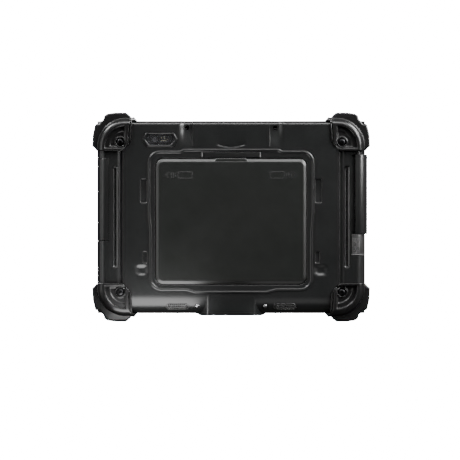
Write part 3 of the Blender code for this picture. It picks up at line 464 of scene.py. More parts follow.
def joined(name, parts):
    """Join separate solids into one object."""
    mesh = bpy.data.meshes.new(name)
    shape = bmesh.new()
    for part in parts:
        part.data.transform(part.matrix_basis)
        shape.from_mesh(part.data)
        bpy.data.objects.remove(part)
    shape.to_mesh(mesh)
    shape.free()
    made = bpy.data.objects.new(name, mesh)
    bpy.context.scene.collection.objects.link(made)
    return made


def bake(target):
    """Replace a mesh by what its modifiers make of it."""
    bpy.context.view_layer.update()
    graph = bpy.context.evaluated_depsgraph_get()
    mesh = bpy.data.meshes.new_from_object(target.evaluated_get(graph))
    target.modifiers.clear()
    old = target.data
    target.data = mesh
    bpy.data.meshes.remove(old)
    return target


def boolean(target, tools, operation):
    for tool in tools:
        change = target.modifiers.new(tool.name, "BOOLEAN")
        change.operation = operation
        change.solver = "MANIFOLD"
        change.object = tool
    bake(target)
    for tool in tools:
        bpy.data.objects.remove(tool)
    return target


def cut(target, *tools):
    return boolean(target, tools, "DIFFERENCE")


def unite(target, *tools):
    return boolean(target, tools, "UNION")


def within(target, *tools):
    return boolean(target, tools, "INTERSECT")


def copy_of(source, name, change=None):
    """A second object with its own mesh, optionally moved or mirrored by a matrix."""
    made = bpy.data.objects.new(name, source.data.copy())
    bpy.context.scene.collection.objects.link(made)
    if change is not None:
        made.data.transform(change)
        if change.determinant() < 0:
            made.data.flip_normals()
    return made


def finish_piece(target, look, body, *nodes, crease=32.0, slot=None):
    """Shade a piece, give it its finish and make it stand for CAD nodes on one body."""
    mesh = target.data
    mesh.materials.clear()
    mesh.materials.append(LOOKS[look])
    mesh.polygons.foreach_set("use_smooth", [True] * len(mesh.polygons))
    mesh.set_sharp_from_angle(angle=math.radians(crease))
    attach(target, body)
    if nodes:
        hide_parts(*nodes)
    return target


# The back of the housing -------------------------------------------------------------------------------
def ease(share):
    share = np.clip(share, 0.0, 1.0)
    return share * share * (3.0 - 2.0 * share)


def back_depth(x, z):
    """The Y of the back over a grid of places: wings, rounds, strap channels and the thumb scoop."""
    wide = np.abs(x)
    roll = 0.45 * MM * np.clip((wide - 96.0 * MM) / (12.5 * MM), 0.0, 1.0) ** 2
    share = ease((wide - CENTRE_HALF_WIDTH + 0.2 * MM) / (0.9 * MM))
    valley = 1.3 * MM * (1.0 - ease((wide - CENTRE_HALF_WIDTH - 1.2 * MM) / (5.0 * MM)))
    plan = (BACK + roll) * (1.0 - share) + (WING_BACK + valley) * share
    over = np.clip(wide - BODY_HALF_WIDTH + WING_ROUND, 0.0, WING_ROUND)
    plan = plan + WING_ROUND - np.sqrt(WING_ROUND ** 2 - over ** 2)

    under = np.clip((BODY_LOW + EDGE_HEIGHT - z) / EDGE_HEIGHT, 0.0, 1.0)
    low = EDGE_DEPTH * (1.0 - np.sqrt(1.0 - under ** 2))
    above = np.clip(z - BODY_HIGH + TOP_ROUND, 0.0, TOP_ROUND)
    high = TOP_ROUND - np.sqrt(TOP_ROUND ** 2 - above ** 2)

    channel = 2.2 * MM * ease((z - 172.0 * MM) / (22.0 * MM))
    channel = channel * ease((wide - 38.2 * MM) / (0.7 * MM)) * (1.0 - ease((wide - 45.6 * MM) / (7.4 * MM)))

    scoop_half = 14.6 * MM
    rise = z - 174.0 * MM - 2.9 * MM * (x / scoop_half) ** 2
    scoop = 1.3 * MM * ease(rise / (1.1 * MM)) * np.exp(-np.clip(rise, 0.0, None) / (4.5 * MM))
    scoop = scoop * np.clip(1.0 - (wide / scoop_half) ** 4, 0.0, 1.0)

    across = np.clip(1.0 - np.abs(wide - 89.5 * MM) / (8.0 * MM), 0.0, 1.0)
    up = np.clip(1.0 - np.abs(z - 51.6 * MM) / (6.6 * MM), 0.0, 1.0)
    dish = 1.5 * MM * ease(across * 1.3) * ease(up * 1.3)

    depth = plan + low + high + channel + scoop + dish
    return np.minimum(depth, SEAM - 0.5 * MM)


def stations(stops):
    """Grid lines from (start, pitch) stops: each pitch holds until the next start."""
    lines = []
    for (start, pitch), (end, _) in zip(stops, stops[1:]):
        count = max(1, round((end - start) / pitch))
        lines += [start + (end - start) * k / count for k in range(count)]
    lines.append(stops[-1][0])
    return lines


def back_solid():
    """The closed solid of the rear housing before anything is cut from it."""
    quarter = [math.sin(math.pi / 2 * k / 14) for k in range(1, 15)]
    stops = in_mm((0.0, 1.2), (36.0, 0.25), (40.0, 0.7), (55.0, 2.5), (80.0, 0.8), (99.0, 1.5), (107.0, 0.2),
                  (110.0, 0.7), (115.0, 2.0))
    right = stations(stops + [(BODY_HALF_WIDTH - WING_ROUND, 1.0)])
    right += [BODY_HALF_WIDTH - WING_ROUND + WING_ROUND * share for share in quarter]
    xs = [-x for x in right[:0:-1]] + right
    zs = [BODY_LOW + EDGE_HEIGHT - EDGE_HEIGHT * share for share in quarter[::-1]]
    stops = in_mm((44.0, 0.8), (59.0, 2.5), (171.0, 0.8), (173.0, 0.25), (178.5, 0.9))
    zs += stations([(BODY_LOW + EDGE_HEIGHT, 2.5 * MM)] + stops + [(BODY_HIGH - TOP_ROUND, 1.0)])
    zs += [BODY_HIGH - TOP_ROUND + TOP_ROUND * share for share in quarter]

    x_grid, z_grid = np.meshgrid(xs, zs)
    y_grid = back_depth(x_grid, z_grid)
    columns, rows = len(xs), len(zs)
    points = np.stack([x_grid, y_grid, z_grid], axis=-1).reshape(-1, 3).tolist()
    edge = [(0, column) for column in range(columns)]
    edge += [(row, columns - 1) for row in range(1, rows)]
    edge += [(rows - 1, column) for column in range(columns - 2, -1, -1)]
    edge += [(row, 0) for row in range(rows - 2, 0, -1)]
    faces = [(row * columns + column, row * columns + column + 1,
              (row + 1) * columns + column + 1, (row + 1) * columns + column)
             for row in range(rows - 1) for column in range(columns - 1)]
    first = len(points)
    points += [(xs[column], SEAM, zs[row]) for row, column in edge]
    rim = [row * columns + column for row, column in edge]
    count = len(rim)
    faces += [(rim[i], rim[(i + 1) % count], first + (i + 1) % count, first + i) for i in range(count)]
    faces.append([first + i for i in range(count)])
    return solid("rear_housing_look", points, faces)


def edge_point(height):
    """Where the rounded lower edge is at this height, and how far its normal tips down from -Y."""
    sine = (BODY_LOW + EDGE_HEIGHT - height) / EDGE_HEIGHT
    cosine = math.sqrt(1.0 - sine * sine)
    depth = BACK + EDGE_DEPTH - EDGE_DEPTH * cosine
    return depth, math.atan2(sine / EDGE_HEIGHT, cosine / EDGE_DEPTH)


def on_edge(tool, x, height):
    """Lay a tool that was made round the origin, facing -Y, on the rounded lower edge."""
    depth, tip = edge_point(height)
    tool.data.transform(Matrix.Translation((x, depth, height)) @ Matrix.Rotation(tip, 4, "X"))
    return tool


def screen_block(name, clearance):
    half_width = 116.0 * MM + clearance
    half_height = 87.7 * MM + clearance
    return box(name, (-half_width, half_width), (11.5 * MM - clearance, HALF_DEPTH + 2 * BEYOND),
               (MID_Z - half_height, MID_Z + half_height))


def corner_core(name, clearance):
    half_width, half_height = 131.0 * MM + clearance, 93.15 * MM + clearance
    half_depth = 12.5 * MM + clearance
    return box(name, (-half_width, half_width), (-half_depth, half_depth),
               (MID_Z - half_height, MID_Z + half_height))


def bumper_seat(side, level):
    outline = grown(flipped(mirrored(bumper_outline(), side), level), GAP)
    seat = plate("seat", outline, -HALF_DEPTH - BEYOND, HALF_DEPTH + BEYOND)
    return cut(seat, corner_core("seat_core", 0.0), screen_block("seat_screen", 0.0))


def dock_bulge():
    low, half, top = BODY_LOW - 2.0 * MM, 34.7 * MM, 28.0 * MM
    front_half, foot_half = 23.7 * MM, 31.0 * MM
    front_view = rounded([(-half, top), (-half, BODY_LOW), (-foot_half, low, 3.0 * MM),
                          (foot_half, low, 3.0 * MM), (half, BODY_LOW), (half, top)])
    top_view = rounded([(-half, -4.0 * MM), (-front_half, BACK, 3.0 * MM), (front_half, BACK, 3.0 * MM),
                        (half, -4.0 * MM), (half, 5.0 * MM), (-half, 5.0 * MM)])
    face = cushion("dock_bulge", front_view, BACK + 0.01 * MM, 4.0 * MM, 1.0 * MM, 0.5 * MM)
    return within(face, plate("dock_bulge_plan", top_view, 0.0, 30.0 * MM, "Z"))


def housing_inside(body):
    """Hollow the housing, and stand the tub of the battery bay in it."""
    def hollow(half_width, low, back):
        return box("hollow", (-half_width, half_width), (back, SEAM + BEYOND), (low, HEIGHT - low))
    cut(body, hollow(105.5 * MM, 15.5 * MM, -9.5 * MM), hollow(121.2 * MM, 35.0 * MM, -9.4 * MM),
        hollow(95.5 * MM, 30.0 * MM, -13.9 * MM), hollow(104.5 * MM, 42.0 * MM, -13.8 * MM))
    wall = 2.6 * MM
    unite(body, box("tub", (BATTERY[0].x - wall, BATTERY[1].x + wall), (BACK + MM, BAY_FLOOR + 1.8 * MM),
                    (BATTERY[0].z - wall, LATCH[1].z + wall)))


def housing_bay(body):
    half = in_mm((-2.1, -0.6), (-1.7, 0.05), (-1.35, 0.35), (-1.0, 0.75), (-0.5, 0.95))
    unite(body, swept("bead", bead_outline(), half + [(0.0, BEAD_HEIGHT)] + mirrored(half, -1)[::-1]))
    opening = rectangle(BATTERY[0].x - GAP, BATTERY[1].x + GAP, BATTERY[0].z - GAP, BATTERY_TOP + GAP,
                        BATTERY_ROUND + GAP)
    cut(body, pocket("bay", opening, BACK, BAY_FLOOR, 0.7 * MM, 1.0 * MM),
        box("latch_pocket", (LATCH[0].x - GAP, LATCH[1].x + GAP), (BACK - BEYOND, -9.3 * MM),
            (BATTERY_TOP - MM, LATCH[1].z + GAP)),
        box("bay_connector_hole", (-20.3 * MM, 20.3 * MM), (-8.0 * MM, 3.0 * MM), (43.7 * MM, 51.3 * MM)))


def housing_sides(body):
    """The bumpers' seats, the recesses of the port doors and the wells behind them."""
    for side in (-1, 1):
        for level in (-1, 1):
            cut(body, bumper_seat(side, level))
            cut(body, rod("boss_hole", 1.8 * MM, -BEYOND * 1.4, -4.2 * MM,
                          at=(side * SCREW_X, MID_Z + level * SCREW_RISE)))
        doors = LEFT_DOOR if side < 0 else (SMALL_COVER[0], RIGHT_DOOR[1])
        seam = 122.5 * MM if side < 0 else 120.55 * MM
        recess = mirrored(grown(door_outline(seam, 3.0 * MM), GAP), side)
        cut(body, plate("door_recess", recess, doors[0].z - GAP, doors[1].z + GAP, "Z"),
            box("turning_room", sorted((hinge_axis(side), side * (BODY_HALF_WIDTH + 3.0 * MM))),
                (HINGE_Y - 3.0 * MM, HINGE_Y + BARREL_RADIUS + 2 * GAP),
                (doors[0].z - GAP, doors[1].z + GAP)),
            rod("pin_hole", PIN_RADIUS + GAP, doors[0].z - 2.2 * MM, doors[1].z + 2.2 * MM, "Z",
                (hinge_axis(side), HINGE_Y)))
        lip = mirrored(rounded([(seam, WING_BACK - BEYOND), (BODY_HALF_WIDTH + BEYOND, WING_BACK - BEYOND),
                                (BODY_HALF_WIDTH + BEYOND, WING_BACK + MM), (seam, WING_BACK + MM)]), side)
        slope = [(0.0, doors[0].z), (0.0, doors[0].z - GAP), (-0.9 * MM, doors[0].z - GAP - 0.9 * MM)]
        cut(body, lofted("recess_lip", lip, slope, "Z"))
    for side, (low, high) in zip((-1, 1, 1), PLUGS):
        x = sorted((side * PORT_WALL, side * (BODY_HALF_WIDTH + BEYOND)))
        cut(body, box("port_well", x, (-12.1 * MM, 0.4 * MM), (low - GAP, high + GAP)))
    for name in SOCKETS:
        low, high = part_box(name)
        side = 1 if low.x > 0 else -1
        x = sorted((side * 120.2 * MM, side * (PORT_WALL + MM)))
        cut(body, box(name + "_hole", x, (low.y - GAP, high.y + GAP), (low.z - GAP, high.z + GAP)))


def chevron(side):
    """A pointed slot at the inner end of a speaker's holes, in (x, z) round the middle of the grille."""
    tip, back, half, thick = -side * 10.6 * MM, -side * 9.0 * MM, 2.6 * MM, side * 0.8 * MM
    return [(back, half), (tip, 0.6 * MM), (tip, -0.6 * MM), (back, -half), (back + thick, -half + 0.4 * MM),
            (tip + 1.2 * thick, -0.4 * MM), (tip + 1.2 * thick, 0.4 * MM), (back + thick, half - 0.4 * MM)]


def housing_details(body):
    for side in (-1, 1):
        groove = rectangle(112.6 * MM, 119.0 * MM, 53.4 * MM, 155.9 * MM, 3.15 * MM)
        slope = in_mm((0.9, -0.01), (0.3, 0.12), (0.0, 0.5), (-0.3, 1.1), (-0.8, 1.8), (-1.6, 2.3),
                      (-2.5, 2.5))
        bowl = [(0.9 * MM, WING_BACK - BEYOND)] + [(growth, WING_BACK + depth) for growth, depth in slope]
        cut(body, lofted("grip_groove", mirrored(groove, side), bowl))
        cut(body, pocket("strap_hole", circle(side * STRAP_X, STRAP_Z, 2.4 * MM), BACK + 1.35 * MM,
                         -7.8 * MM, 0.3 * MM, 0.2 * MM))
        upper_catch = rectangle(84.2 * MM, 90.7 * MM, 118.9 * MM, 143.0 * MM, 1.6 * MM)
        lower_catch = rectangle(84.0 * MM, 88.5 * MM, 58.6 * MM, 70.5 * MM, 1.6 * MM)
        for catch in (upper_catch, lower_catch):
            cut(body, pocket("catch", mirrored(catch, side), BACK, BACK + 1.3 * MM, 0.5 * MM, 0.6 * MM))
        rim = rectangle(-11.6 * MM, 11.6 * MM, -3.7 * MM, 3.7 * MM, 3.6 * MM)
        speaker = on_edge(plate("speaker_pocket", rim, -5.0 * MM, 1.9 * MM), side * SPEAKER_X, SPEAKER_Z)
        sound = on_edge(plate("sound_port", rectangle(-9.0 * MM, 9.0 * MM, -2.2 * MM, 2.2 * MM, 2.0 * MM),
                              -1.0 * MM, 8.0 * MM), side * SPEAKER_X, SPEAKER_Z)
        seat = on_edge(plate("dome_seat", circle(0.0, 0.0, 2.6 * MM), -4.0 * MM, 0.8 * MM),
                       side * DOME_SCREW_X, DOME_SCREW_Z)
        hole = on_edge(plate("dome_hole", circle(0.0, 0.0, 1.3 * MM), -1.0 * MM, 3.2 * MM),
                       side * DOME_SCREW_X, DOME_SCREW_Z)
        cut(body, speaker, sound, seat, hole)
    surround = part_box("camera_surround")
    camera = grown(shield(*surround, 3.2 * MM), GAP)
    cut(body, plate("camera_pocket", camera, BACK - BEYOND, BACK + 1.9 * MM),
        box("camera_hole", (-84.0 * MM, -58.0 * MM), (BACK, -8.5 * MM), (178.0 * MM, 186.4 * MM)),
        box("dock_hole", (-18.0 * MM, 18.0 * MM), (-9.0 * MM, -1.0 * MM), (0.0, 16.5 * MM)))


def rear_housing():
    body = back_solid()
    unite(body, dock_bulge())
    housing_inside(body)
    housing_bay(body)
    housing_sides(body)
    housing_details(body)
    cut(body, seal_ring(GAP))
    finish_piece(body, "shell_plastic", "tablet", "rear_housing")
    grip_highlight_strips()


def grip_highlight_strips():
    """A smooth strip along one flank of each grip groove, in a lighter grey than the shell that paints the
    highlight on that flank.
    """
    for low_x, high_x in ((-114.9 * MM, -113.0 * MM), (116.9 * MM, 118.8 * MM)):
        outline = rectangle(low_x, high_x, 54.4 * MM, 154.9 * MM, 0.9 * MM)
        strip = cushion("grip_strip", outline, WING_BACK + 0.5 * MM, WING_BACK + 2.8 * MM,
                        0.7 * MM, 0.1 * MM)
        finish_piece(strip, "grille_plastic", "tablet", slot="shell_plastic")


# Corner bumpers ----------------------------------------------------------------------------------------
def bumper_shoulder():
    """The tall inner part of a bumper: its back and front roll off towards the pads."""
    inset = rounded(in_mm((80.0, 150.0), (133.3, 150.0), (133.3, 203.3, 27.3), (80.0, 203.3)), 24)
    width, drop, steps = 6.0 * MM, 6.0 * MM, 10
    rings = []
    for k in range(steps + 1):
        angle = math.pi / 2 * k / steps
        rings.append((width * (math.sin(angle) - 1.0), -HALF_DEPTH + drop * (1.0 - math.cos(angle))))
    rings += [(growth, -level) for growth, level in rings[::-1]]
    shoulder = lofted("bumper_shoulder", inset, rings)
    return within(shoulder, plate("bumper_plan", bumper_outline(), -HALF_DEPTH - MM, HALF_DEPTH + MM))


def band(path, width):
    """The outline of a strip of this width along an open path."""
    left, right = [], []
    for i, here in enumerate(path):
        along = (Vector(path[min(i + 1, len(path) - 1)]) - Vector(path[max(i - 1, 0)])).normalized()
        across = Vector((-along.y, along.x)) * width / 2
        left.append(tuple(Vector(here) + across))
        right.append(tuple(Vector(here) - across))
    return right + left[::-1]


def bumper():
    body = cushion("bumper", bumper_outline(), -13.2 * MM, 13.2 * MM, 1.6 * MM, 1.6 * MM)
    unite(body, bumper_shoulder())
    ring = in_mm((105.0, 173.4, 3.0), (126.6, 173.4, 0.8), (126.6, 196.4, 20.5), (105.9, 196.4, 0.8))
    step = in_mm((106.6, 175.6, 2.0), (121.3, 175.6, 0.8), (121.3, 191.0, 15.0), (106.6, 191.0, 0.8))
    ring, step = rounded(ring, 16), rounded(step, 16)
    at = (SCREW_X, MID_Z + SCREW_RISE)
    lip = in_mm((98.8, 206.0), (101.4, 196.0), (102.2, 186.0), (101.9, 178.0), (103.4, 174.3),
                (106.4, 171.9), (110.0, 170.8), (110.0, 168.6))
    cut(body, corner_core("bumper_core", GAP), screen_block("bumper_screen", GAP),
        plate("lip_groove", band(lip, 1.3 * MM), -HALF_DEPTH - BEYOND, -17.4 * MM))
    cut(body, plate("bumper_recess", ring, -HALF_DEPTH - BEYOND, -15.4 * MM),
        plate("bumper_step", step, -HALF_DEPTH - BEYOND, -14.6 * MM))
    unite(body, rod("bumper_collar", 5.2 * MM, -16.0 * MM, -14.0 * MM, at=at))
    cut(body, rod("bumper_counterbore", 4.4 * MM, -HALF_DEPTH - BEYOND, -14.1 * MM, at=at),
        rod("bumper_hole", 1.8 * MM, -HALF_DEPTH, -12.0 * MM, at=at))
    mesh = body.modifiers.new("voxels", "REMESH")
    mesh.mode = "VOXEL"
    mesh.voxel_size = 0.4 * MM
    soften = body.modifiers.new("soften", "SMOOTH")
    soften.factor = 0.5
    soften.iterations = 3
    return bake(body)


def corner_bumpers():
    first = bumper()
    for side, side_name in SIDES:
        for level, level_name in LEVELS:
            name = f"{level_name}_{side_name}_bumper"
            change = Matrix.Diagonal((side, 1.0, level, 1.0))
            change.translation.z = HEIGHT if level < 0 else 0.0
            copied = copy_of(first, name + "_look", change)
            finish_piece(copied, "bumper_rubber", "tablet", name, crease=80.0)
    bpy.data.objects.remove(first)


# Screws ------------------------------------------------------------------------------------------------
def bumper_screws():
    """Button heads with a six-sided socket."""
    radius, height = 3.2 * MM, 2.0 * MM
    dome = [(radius * math.sin(math.pi / 2 * k / 8), height * (0.45 + 0.55 * math.cos(math.pi / 2 * k / 8)))
            for k in range(9)]
    shank = 1.5 * MM
    profile = dome + [(radius, 0.0), (shank, 0.0), (shank, -9.4 * MM), (0.0, -9.6 * MM)]
    screw = turned("bumper_screw", profile, 36)
    cut(screw, plate("socket", circle(0.0, 0.0, 1.5 * MM, 6), height - 1.3 * MM, height + MM, "Z"))
    screw.data.transform(Matrix.Rotation(math.pi / 2, 4, "X"))
    for side, side_name in SIDES:
        for level, level_name in LEVELS:
            name = f"{level_name}_{side_name}_bumper_screw"
            place = Matrix.Translation((side * SCREW_X, -14.4 * MM, MID_Z + level * SCREW_RISE))
            finish_piece(copy_of(screw, name + "_look", place), "screw_steel", "tablet", name)
    bpy.data.objects.remove(screw)


def dome_screws():
    radius, height = 2.3 * MM, 2.0 * MM
    angles = [math.pi / 2 * k / 10 for k in range(11)]
    dome = [(radius * math.sin(angle), height * math.cos(angle)) for angle in angles]
    profile = dome + in_mm((1.0, 0.0), (1.0, -2.0), (0.0, -2.0))
    depth, tip = edge_point(DOME_SCREW_Z)
    outward = Vector((0.0, -math.cos(tip), -math.sin(tip)))
    for side, side_name in SIDES:
        screw = turned(f"{side_name}_dome_screw_look", profile, 40)
        place = Vector((side * DOME_SCREW_X, depth, DOME_SCREW_Z)) - outward * 0.5 * MM
        screw.data.transform(Matrix.Translation(place) @ Matrix.Rotation(math.pi / 2 + tip, 4, "X"))
        finish_piece(screw, "dome_steel", "tablet", f"{side_name}_dome_screw", slot="bright_steel")


# Battery and latch -------------------------------------------------------------------------------------
def battery_pack():
    outline = rectangle(BATTERY[0].x, BATTERY[1].x, BATTERY[0].z, BATTERY_TOP, BATTERY_ROUND, 12)
    crest = BATTERY[0].y
    slope = in_mm((-5.0, 0.0), (-3.9, 0.0), (-3.4, 0.06), (-2.9, 0.22), (-0.9, 1.08), (-0.45, 1.32),
                  (-0.12, 1.7), (0.0, 2.3))
    rings = [(growth, crest + depth) for growth, depth in slope]
    rings += [(0.0, BATTERY[1].y - 0.6 * MM), (-0.5 * MM, BATTERY[1].y)]
    pack = lofted("battery_pack_look", outline, rings)
    tab = in_mm((-17.2, 160.2), (17.2, 160.2), (14.0, 163.9), (-14.0, 163.9))
    unite(pack, cushion("battery_tab", tab, crest + 0.02 * MM, crest + 4.0 * MM, 0.9 * MM, 0.2 * MM))
    finish_piece(pack, "battery_plastic", "battery", "battery_pack")
    # The slanted ends of the finger tab get thin strips in a lighter grey, a painted highlight on those
    # ends.
    ends = []
    for side in (-1, 1):
        slant = band([(side * 17.0 * MM, 160.5 * MM), (side * 14.4 * MM, 163.6 * MM)], 0.7 * MM)
        ends.append(cushion("tab_end", slant, crest + 0.01 * MM, crest + MM, 0.15 * MM, 0.05 * MM))
    finish_piece(joined("battery_tab_ends", ends), "polished_plastic", "battery", slot="battery_plastic")


def arrow_marks():
    """A raised outline arrow at each end of the battery, which points towards the nearer side."""
    crest = BATTERY[0].y
    bottom, top = crest - 0.35 * MM, crest + 0.3 * MM
    for side, side_name in SIDES:
        tip, tail, middle = side * 66.0 * MM, side * 39.0 * MM, 146.8 * MM
        head, neck = tip - side * 4.2 * MM, tip - side * 11.0 * MM
        notch, half_height = head - side * 0.9 * MM, 3.6 * MM
        arrow = [(head, middle + half_height), (tip, middle), (head, middle - half_height),
                 (notch, middle - half_height), (tip - side * 1.3 * MM, middle),
                 (notch, middle + half_height)]
        pieces = [plate("arrow_head", arrow, bottom, top)]
        for k in range(3):
            start = neck + side * (4.6 - 2.3 * k) * MM
            shorter = 0.4 * k * MM
            bar = rectangle(*sorted((start, start + side * 0.8 * MM)), middle - 3.0 * MM + shorter,
                            middle + 3.0 * MM - shorter, 0.12 * MM, 2)
            pieces.append(cushion("bar", bar, bottom, top, 0.1 * MM, 0.05 * MM))
        frame_low, frame_high = sorted((tail, neck - side * 2.0 * MM))
        pieces.append(swept_frame(frame_low, frame_high, middle - 3.2 * MM, middle + 3.2 * MM, crest))
        marks = joined(f"{side_name}_arrow_mark", pieces)
        # The marks are the battery's own plastic; their lighter grey is a painted highlight on their raised
        # outlines.
        finish_piece(marks, "grille_plastic", "battery", slot="battery_plastic")


def swept_frame(low_x, high_x, low_z, high_z, crest):
    """A thin raised rectangle on the battery's face."""
    path = rectangle(low_x, high_x, low_z, high_z, 0.8 * MM, 4)
    raise_by = BACK - crest
    shape = in_mm((-0.5, -0.3), (-0.32, 0.3), (0.0, 0.38), (0.32, 0.3), (0.5, -0.3))
    profile = [(across, raise_by + out) for across, out in shape]
    return swept("arrow_frame", path, profile)


def battery_latch():
    outline = face_of(*LATCH, 0.8 * MM, 4)
    bar = cushion("battery_latch_look", outline, LATCH[0].y, LATCH[1].y, 0.6 * MM, 0.3 * MM)
    finish_piece(bar, "shell_plastic", "latch", "battery_latch")
    # A small rib at each end of the latch bar, in a lighter grey that paints the highlights on the bar's
    # ends.
    ribs = []
    for side in (-1, 1):
        rib = rectangle(*sorted((side * 28.6 * MM, side * 29.7 * MM)), 164.4 * MM, 169.6 * MM, 0.5 * MM, 4)
        ribs.append(cushion("latch_rib", rib, LATCH[0].y - 0.9 * MM, LATCH[0].y + MM, 0.5 * MM, 0.1 * MM))
    finish_piece(joined("latch_ribs", ribs), "polished_plastic", "latch", slot="shell_plastic")


def latch_spring():
    """The bowed leaf under the latch bar."""
    low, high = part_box("latch_spring")
    thickness, steps = 0.4 * MM, 24
    bow = []
    for k in range(steps + 1):
        share = 2 * k / steps - 1
        bow.append((high.x * share, low.y + (high.y - thickness - low.y) * share * share))
    strip = bow + [(x, y + thickness) for x, y in reversed(bow)]
    spring = plate("latch_spring_look", strip, low.z, high.z, "Z")
    finish_piece(spring, "bright_steel", "tablet", "latch_spring", slot="bright_steel")
    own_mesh(spring)


# Port doors --------------------------------------------------------------------------------------------
def port_door(node, body, side, seam, bulge, plug, look):
    low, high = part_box(node)
    outline = mirrored(door_outline(seam, bulge), side)
    door = cushion(node + "_look", outline, low.z, high.z, 0.45 * MM, 0.45 * MM, "Z")
    at = (hinge_axis(side), HINGE_Y)
    cut(door, rod("bore", PIN_RADIUS + GAP, low.z - MM, high.z + MM, "Z", at))
    x = sorted((side * 128.7 * MM, side * 132.6 * MM))
    unite(door, box("plug", x, (-10.6 * MM, -0.6 * MM), plug))
    if look == "cover_rubber":
        # The small cover gets raised specks and a thin rim at its foot in a lighter grey: the specks are
        # real texture whose colour paints glints, and the rim is a painted highlight along its bottom edge.
        finish_piece(cover_specks(low), "polished_plastic", body, slot=look)
        edge = grown(outline, 0.12 * MM)
        rim = cushion("cover_rim", edge, low.z, low.z + 0.9 * MM, 0.2 * MM, 0.2 * MM, "Z")
        cut(rim, rod("rim_bore", PIN_RADIUS + GAP, low.z - MM, high.z + MM, "Z", at))
        finish_piece(rim, "polished_plastic", body, slot=look)
    finish_piece(door, look, body, node)


def cover_specks(low):
    """Uneven small raised specks that give the small cover its texture, in a lighter grey that paints glints
    on it.
    """
    pitch, specks = 1.3 * MM, []
    for row in range(12):
        for column in range(6):
            if (row * 7 + column * 5 + row * column) % 5 > 2 and 0 < column < 5 and 0 < row < 11:
                continue
            x = low.x + 1.3 * MM + column * pitch
            z = low.z + 2.0 * MM + row * pitch
            specks.append(cushion("speck", circle(x, z, 0.4 * MM, 8), low.y - 0.15 * MM, low.y + 0.5 * MM,
                                  0.15 * MM, 0.05 * MM))
    return joined("cover_specks", specks)


def port_doors():
    left_plug, right_plug, small_plug = PLUGS
    port_door("left_port_door", "left_door", -1, 122.5 * MM, 0.0, left_plug, "shell_plastic")
    port_door("right_port_door", "right_door", 1, 124.35 * MM, 2.3 * MM, right_plug, "shell_plastic")
    port_door("audio_cover", "small_cover", 1, 120.55 * MM, 0.0, small_plug, "cover_rubber")


# Camera, speakers and strap anchors --------------------------------------------------------------------
def shield(low, high, radius):
    """The camera window's outline: a wide hexagon with soft corners, narrower at the bottom."""
    middle, top_inset, bottom_inset = (low.z + high.z) / 2 + 0.4 * MM, 3.2 * MM, 4.4 * MM
    corners = [(low.x, middle), (low.x + bottom_inset, low.z), (high.x - bottom_inset, low.z),
               (high.x, middle), (high.x - top_inset, high.z), (low.x + top_inset, high.z)]
    return rounded([(x, z, radius) for x, z in corners])


def camera():
    surround_low, surround_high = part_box("camera_surround")
    window_low, window_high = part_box("camera_window")
    outer = shield(surround_low, surround_high, 3.2 * MM)
    window = shield(window_low, window_high, 2.4 * MM)
    surround = cushion("camera_surround_look", outer, surround_low.y, surround_high.y, 0.9 * MM, 0.1 * MM)
    cut(surround, pocket("window_hole", grown(window, GAP), surround_low.y, surround_high.y + MM,
                         0.8 * MM, 0.1 * MM))
    finish_piece(surround, "shell_plastic", "tablet", "camera_surround")
    pane = cushion("camera_window_look", window, window_low.y, window_high.y, 0.15 * MM, 0.1 * MM)
    finish_piece(pane, "camera_glass", "tablet", "camera_window", slot="dark_glass")

    module_low, module_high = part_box("camera_module")
    mask_front = window_high.y + 0.12 * MM
    mask = plate("camera_mask", grown(window, 0.4 * MM), mask_front, mask_front + 0.15 * MM)
    cut(mask, rod("lens_opening", 2.9 * MM, mask_front - MM, mask_front + MM, at=LENS_AT),
        box("flash_opening", (-71.2 * MM, -62.8 * MM), (mask_front - MM, mask_front + MM),
            (180.2 * MM, 185.6 * MM)))
    finish_piece(mask, "insulator_plastic", "tablet")
    profile = in_mm((0.0, 0.35), (0.6, 0.33), (1.0, 0.25), (1.3, 0.1), (1.5, 0.1), (1.7, 0.45), (2.4, 0.45),
                    (2.6, 0.3), (2.6, -4.0), (0.0, -4.0))
    barrel = turned("camera_module_look", profile, 48)
    barrel.data.transform(Matrix.Translation((LENS_AT[0], module_low.y + 0.45 * MM, LENS_AT[1]))
                          @ Matrix.Rotation(math.pi / 2, 4, "X"))
    outline = face_of(module_low, module_high, 0.5 * MM, 3)
    block = cushion("camera_block", outline, -12.9 * MM, module_high.y, 0.3 * MM, 0.3 * MM)
    unite(block, barrel)
    block.name = "camera_module_look"
    finish_piece(block, "camera_ring", "tablet", "camera_module", slot="insulator_plastic")
    camera_flash()


def camera_flash():
    """Two flash lamps, the bar below them and a light sensor, on a dark base."""
    low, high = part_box("camera_flash")
    outline = face_of(low, high, 0.5 * MM, 3)
    base = plate("camera_flash_look", outline, low.y + 0.5 * MM, high.y)
    dots = [rod("flash", 0.95 * MM, low.y, low.y + MM, at=place)
            for place in in_mm((-69.65, 184.2), (-66.95, 184.2))]
    strip = rectangle(-70.6 * MM, -65.0 * MM, 181.0 * MM, 182.0 * MM, 0.4 * MM)
    bar = plate("flash_bar", strip, low.y, high.y)
    sensor = rod("light_sensor", 0.6 * MM, low.y, high.y, at=(-63.8 * MM, 182.6 * MM))
    finish_piece(base, "insulator_plastic", "tablet")
    finish_piece(joined("camera_flash_lamps", dots + [bar, sensor]), "flash_lens", "tablet", "camera_flash")


